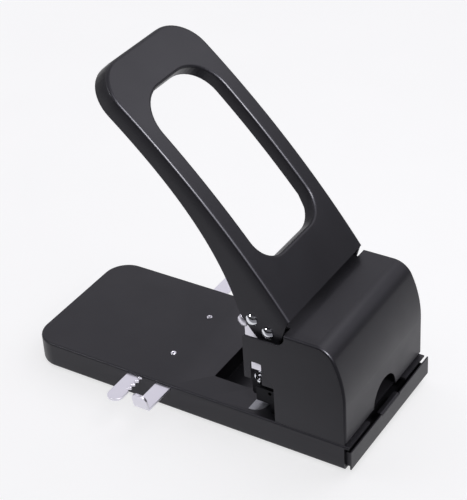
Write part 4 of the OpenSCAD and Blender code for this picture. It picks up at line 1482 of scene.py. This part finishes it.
@dataclass
class Studio:
    """Pale paper floor, soft light and the photograph's camera."""

    floor_half: float = 6.0
    floor_squares: int = 8
    floor_z: float = -0.00002
    floor_tones: tuple[str, str] = ("#aaaaac", "#b0b0b2")
    floor_roughness: float = 0.95
    floor_specular: float = 0.1
    floor_lift: float = 0.68
    pulp_mm: float = 90.0
    paper_way: Point = (0.752, 0.659, 0.0)
    paper_end: Pair = (0.13, 0.23)
    backdrop: str = "#f6f6f7"
    sky_levels: tuple[Pair, ...] = ((0.04, 0.08), (0.25, 0.18), (0.32, 0.40), (0.40, 0.80), (0.48, 1.20),
                                    (0.58, 1.20), (0.66, 0.70), (0.95, 0.58))
    sky_tint: Point = (1.0, 0.985, 1.04)
    dark_from: Pair = (0.3, 0.65)
    dark_level: float = 0.12
    camera_at: Point = (0.7785, 0.5277, 0.7380)
    azimuth_deg: float = 123.4769
    elevation_deg: float = 33.7265
    roll_deg: float = -3.6564
    focal_px: float = 1548.0
    sensor_mm: float = 36.0
    clip: Pair = (0.01, 50.0)
    lamps: tuple[Lamp, ...] = (
        Lamp("rear_left_box", (-0.24, 0.17, 0.52), (0.0, -0.03, 0.24), (0.30, 0.25), 0.32),
        Lamp("handle_ridge_strip", (0.70, 1.00, 1.29), (0.05, 0.0, 0.19), (0.20, 0.24), 60.0, True),
        Lamp("table_edge_strip", (0.966, -0.87, 0.925), (0.06, -0.08, 0.02), (0.16, 0.16), 5.0, True),
    )

    def camera(self) -> None:
        """Sets the camera that was fitted to the table's straight edges."""
        data = bpy.data.cameras.new("photo_camera")
        data.sensor_fit = "VERTICAL"
        data.sensor_height = self.sensor_mm
        data.sensor_width = self.sensor_mm
        data.lens = self.focal_px / FRAME_PIXELS[1] * self.sensor_mm
        data.clip_start, data.clip_end = self.clip
        a, e, roll = (math.radians(deg) for deg in (self.azimuth_deg, self.elevation_deg, self.roll_deg))
        back = Vector((math.sin(a) * math.cos(e), -math.cos(a) * math.cos(e), math.sin(e)))
        right = Vector((0, 0, 1)).cross(back).normalized()
        up = back.cross(right)
        turned_right = right * math.cos(roll) + up * math.sin(roll)
        turned_up = up * math.cos(roll) - right * math.sin(roll)
        pose = Matrix((turned_right, turned_up, back)).transposed().to_4x4()
        pose.translation = Vector(self.camera_at)
        camera = bpy.data.objects.new("photo_camera", data)
        camera.matrix_world = pose
        bpy.context.scene.collection.objects.link(camera)
        bpy.context.scene.camera = camera

    def paper(self) -> bpy.types.Material:
        """Makes the floor's paper: white to the camera and in reflections, without more light on the object.

        Returns:
            The finished material, which keeps the object's shadow.
        """
        bench = Bench("matt_white_background_paper", {
            "Roughness": self.floor_roughness, "Specular IOR Level": self.floor_specular,
            "Emission Color": (1.0, 1.0, 1.0, 1.0)})
        tree, here = bench.tree, bench.here
        pulp = add(tree, "ShaderNodeTexNoise", {"Scale": per_metre(self.pulp_mm), "Detail": 3.0}, {"Vector": here})
        tone = add(tree, "ShaderNodeMix", dict(zip((FIRST, SECOND), map(linear, self.floor_tones))),
                   {FACTOR: pulp.outputs[0]}, data_type="RGBA")
        # The paper ends on the camera's side, outside the picture: past it the room is darker in reflections
        reach = add(tree, "ShaderNodeVectorMath", {1: self.paper_way}, {0: here}, operation="DOT_PRODUCT")
        on_paper = add(tree, "ShaderNodeMapRange", span(self.paper_end, (1.0, 0.0)), {0: reach.outputs["Value"]},
                       interpolation_type="SMOOTHSTEP")
        ray = add(tree, "ShaderNodeLightPath")
        mirrored = add(tree, "ShaderNodeMath", links={0: ray.outputs["Is Glossy Ray"], 1: on_paper.outputs[0]},
                       operation="MULTIPLY")
        seen = add(tree, "ShaderNodeMath", links={0: ray.outputs["Is Camera Ray"], 1: mirrored.outputs[0]},
                   operation="MAXIMUM")
        lift = add(tree, "ShaderNodeMath", {1: self.floor_lift}, {0: seen.outputs[0]}, operation="MULTIPLY")
        feed(tree, bench.shader, {"Base Color": tone.outputs[MIXED], "Emission Strength": lift.outputs[0]})
        return bench.material

    def floor(self) -> None:
        """Lays the paper."""
        n = self.floor_squares
        steps = [self.floor_half / MM * (2 * k / n - 1) for k in range(n + 1)]
        skin = Skin()
        skin.strip([[(x, y, self.floor_z / MM) for y in steps] for x in steps])
        sheet = skin.piece("paper_floor", (0, 0, 1))
        sheet.data.materials.append(self.paper())

    def sky(self) -> None:
        """Sets the soft surround: brightest halfway up, dark low down and behind the camera, pale to the camera."""
        world = bpy.data.worlds.new("soft_studio")
        bpy.context.scene.world = world
        world.use_nodes = True
        tree = world.node_tree
        tree.nodes.clear()
        way = add(tree, "ShaderNodeTexCoord").outputs["Generated"]
        parts = add(tree, "ShaderNodeSeparateXYZ", links={0: way})
        ramp = add(tree, "ShaderNodeValToRGB", links={0: parts.outputs["Z"]})
        stops, levels = ramp.color_ramp.elements, self.sky_levels
        stops[0].position, stops[1].position = levels[0][0], levels[-1][0]
        for height, _ in levels[1:-1]:
            stops.new(height)
        for stop, (_, level) in zip(stops, levels):
            stop.color = (*(level * tint for tint in self.sky_tint), 1.0)
        # The room behind the camera is dark, which the domed heads mirror in their upper right
        lit = add(tree, "ShaderNodeMapRange", span(self.dark_from, (1.0, self.dark_level)), {0: parts.outputs["X"]},
                  interpolation_type="SMOOTHSTEP")
        glow = add(tree, "ShaderNodeBackground", links={"Color": ramp.outputs[0], "Strength": lit.outputs[0]})
        pale = add(tree, "ShaderNodeBackground", {"Color": linear(self.backdrop), "Strength": 1.0})
        seen = add(tree, "ShaderNodeLightPath").outputs["Is Camera Ray"]
        both = add(tree, "ShaderNodeMixShader", links={0: seen, 1: glow.outputs[0], 2: pale.outputs[0]})
        add(tree, "ShaderNodeOutputWorld", links={0: both.outputs[0]})

    def build(self) -> None:
        """Sets up the whole studio."""
        self.camera()
        self.floor()
        self.sky()
        for lamp in self.lamps:
            lamp.build()
        bpy.context.scene.view_settings.view_transform = "Standard"


def dress_solids(wardrobe: Wardrobe) -> None:
    """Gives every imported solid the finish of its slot, whether or not a piece replaces it."""
    for part in frame["record"]["subparts"]:
        wardrobe.dress_node(part["node"], Slot(part["material_slot"]))


def main() -> None:
    """Builds the studio and every piece in order."""
    logging.basicConfig(level=logging.INFO, format="%(name)s %(message)s")
    Studio().build()
    wardrobe = Wardrobe()
    dress_solids(wardrobe)
    rods = (HeadedRod("pivot_shaft", "frame", Slot.CHROME, shaft_r=4.0, head=RoundHead(radius=4.5, height=2.4)),
            HeadedRod("link_rod", "lever", Slot.CHROME, shaft_r=3.0, head=RoundHead(radius=4.5, height=2.4)),
            HeadedRod("yoke_tie_rod", "press", Slot.ZINC, shaft_r=2.5, head=RoundHead(radius=4.3, height=2.0)))
    for part in (Lever(), BasePan(), Housing(), ChipTray(), GuideBar(Side.LEFT), GuideBar(Side.RIGHT), *rods,
                 TableRivets(), ReturnSprings()):
        part.build(wardrobe)


if __name__ == "__main__":
    main()
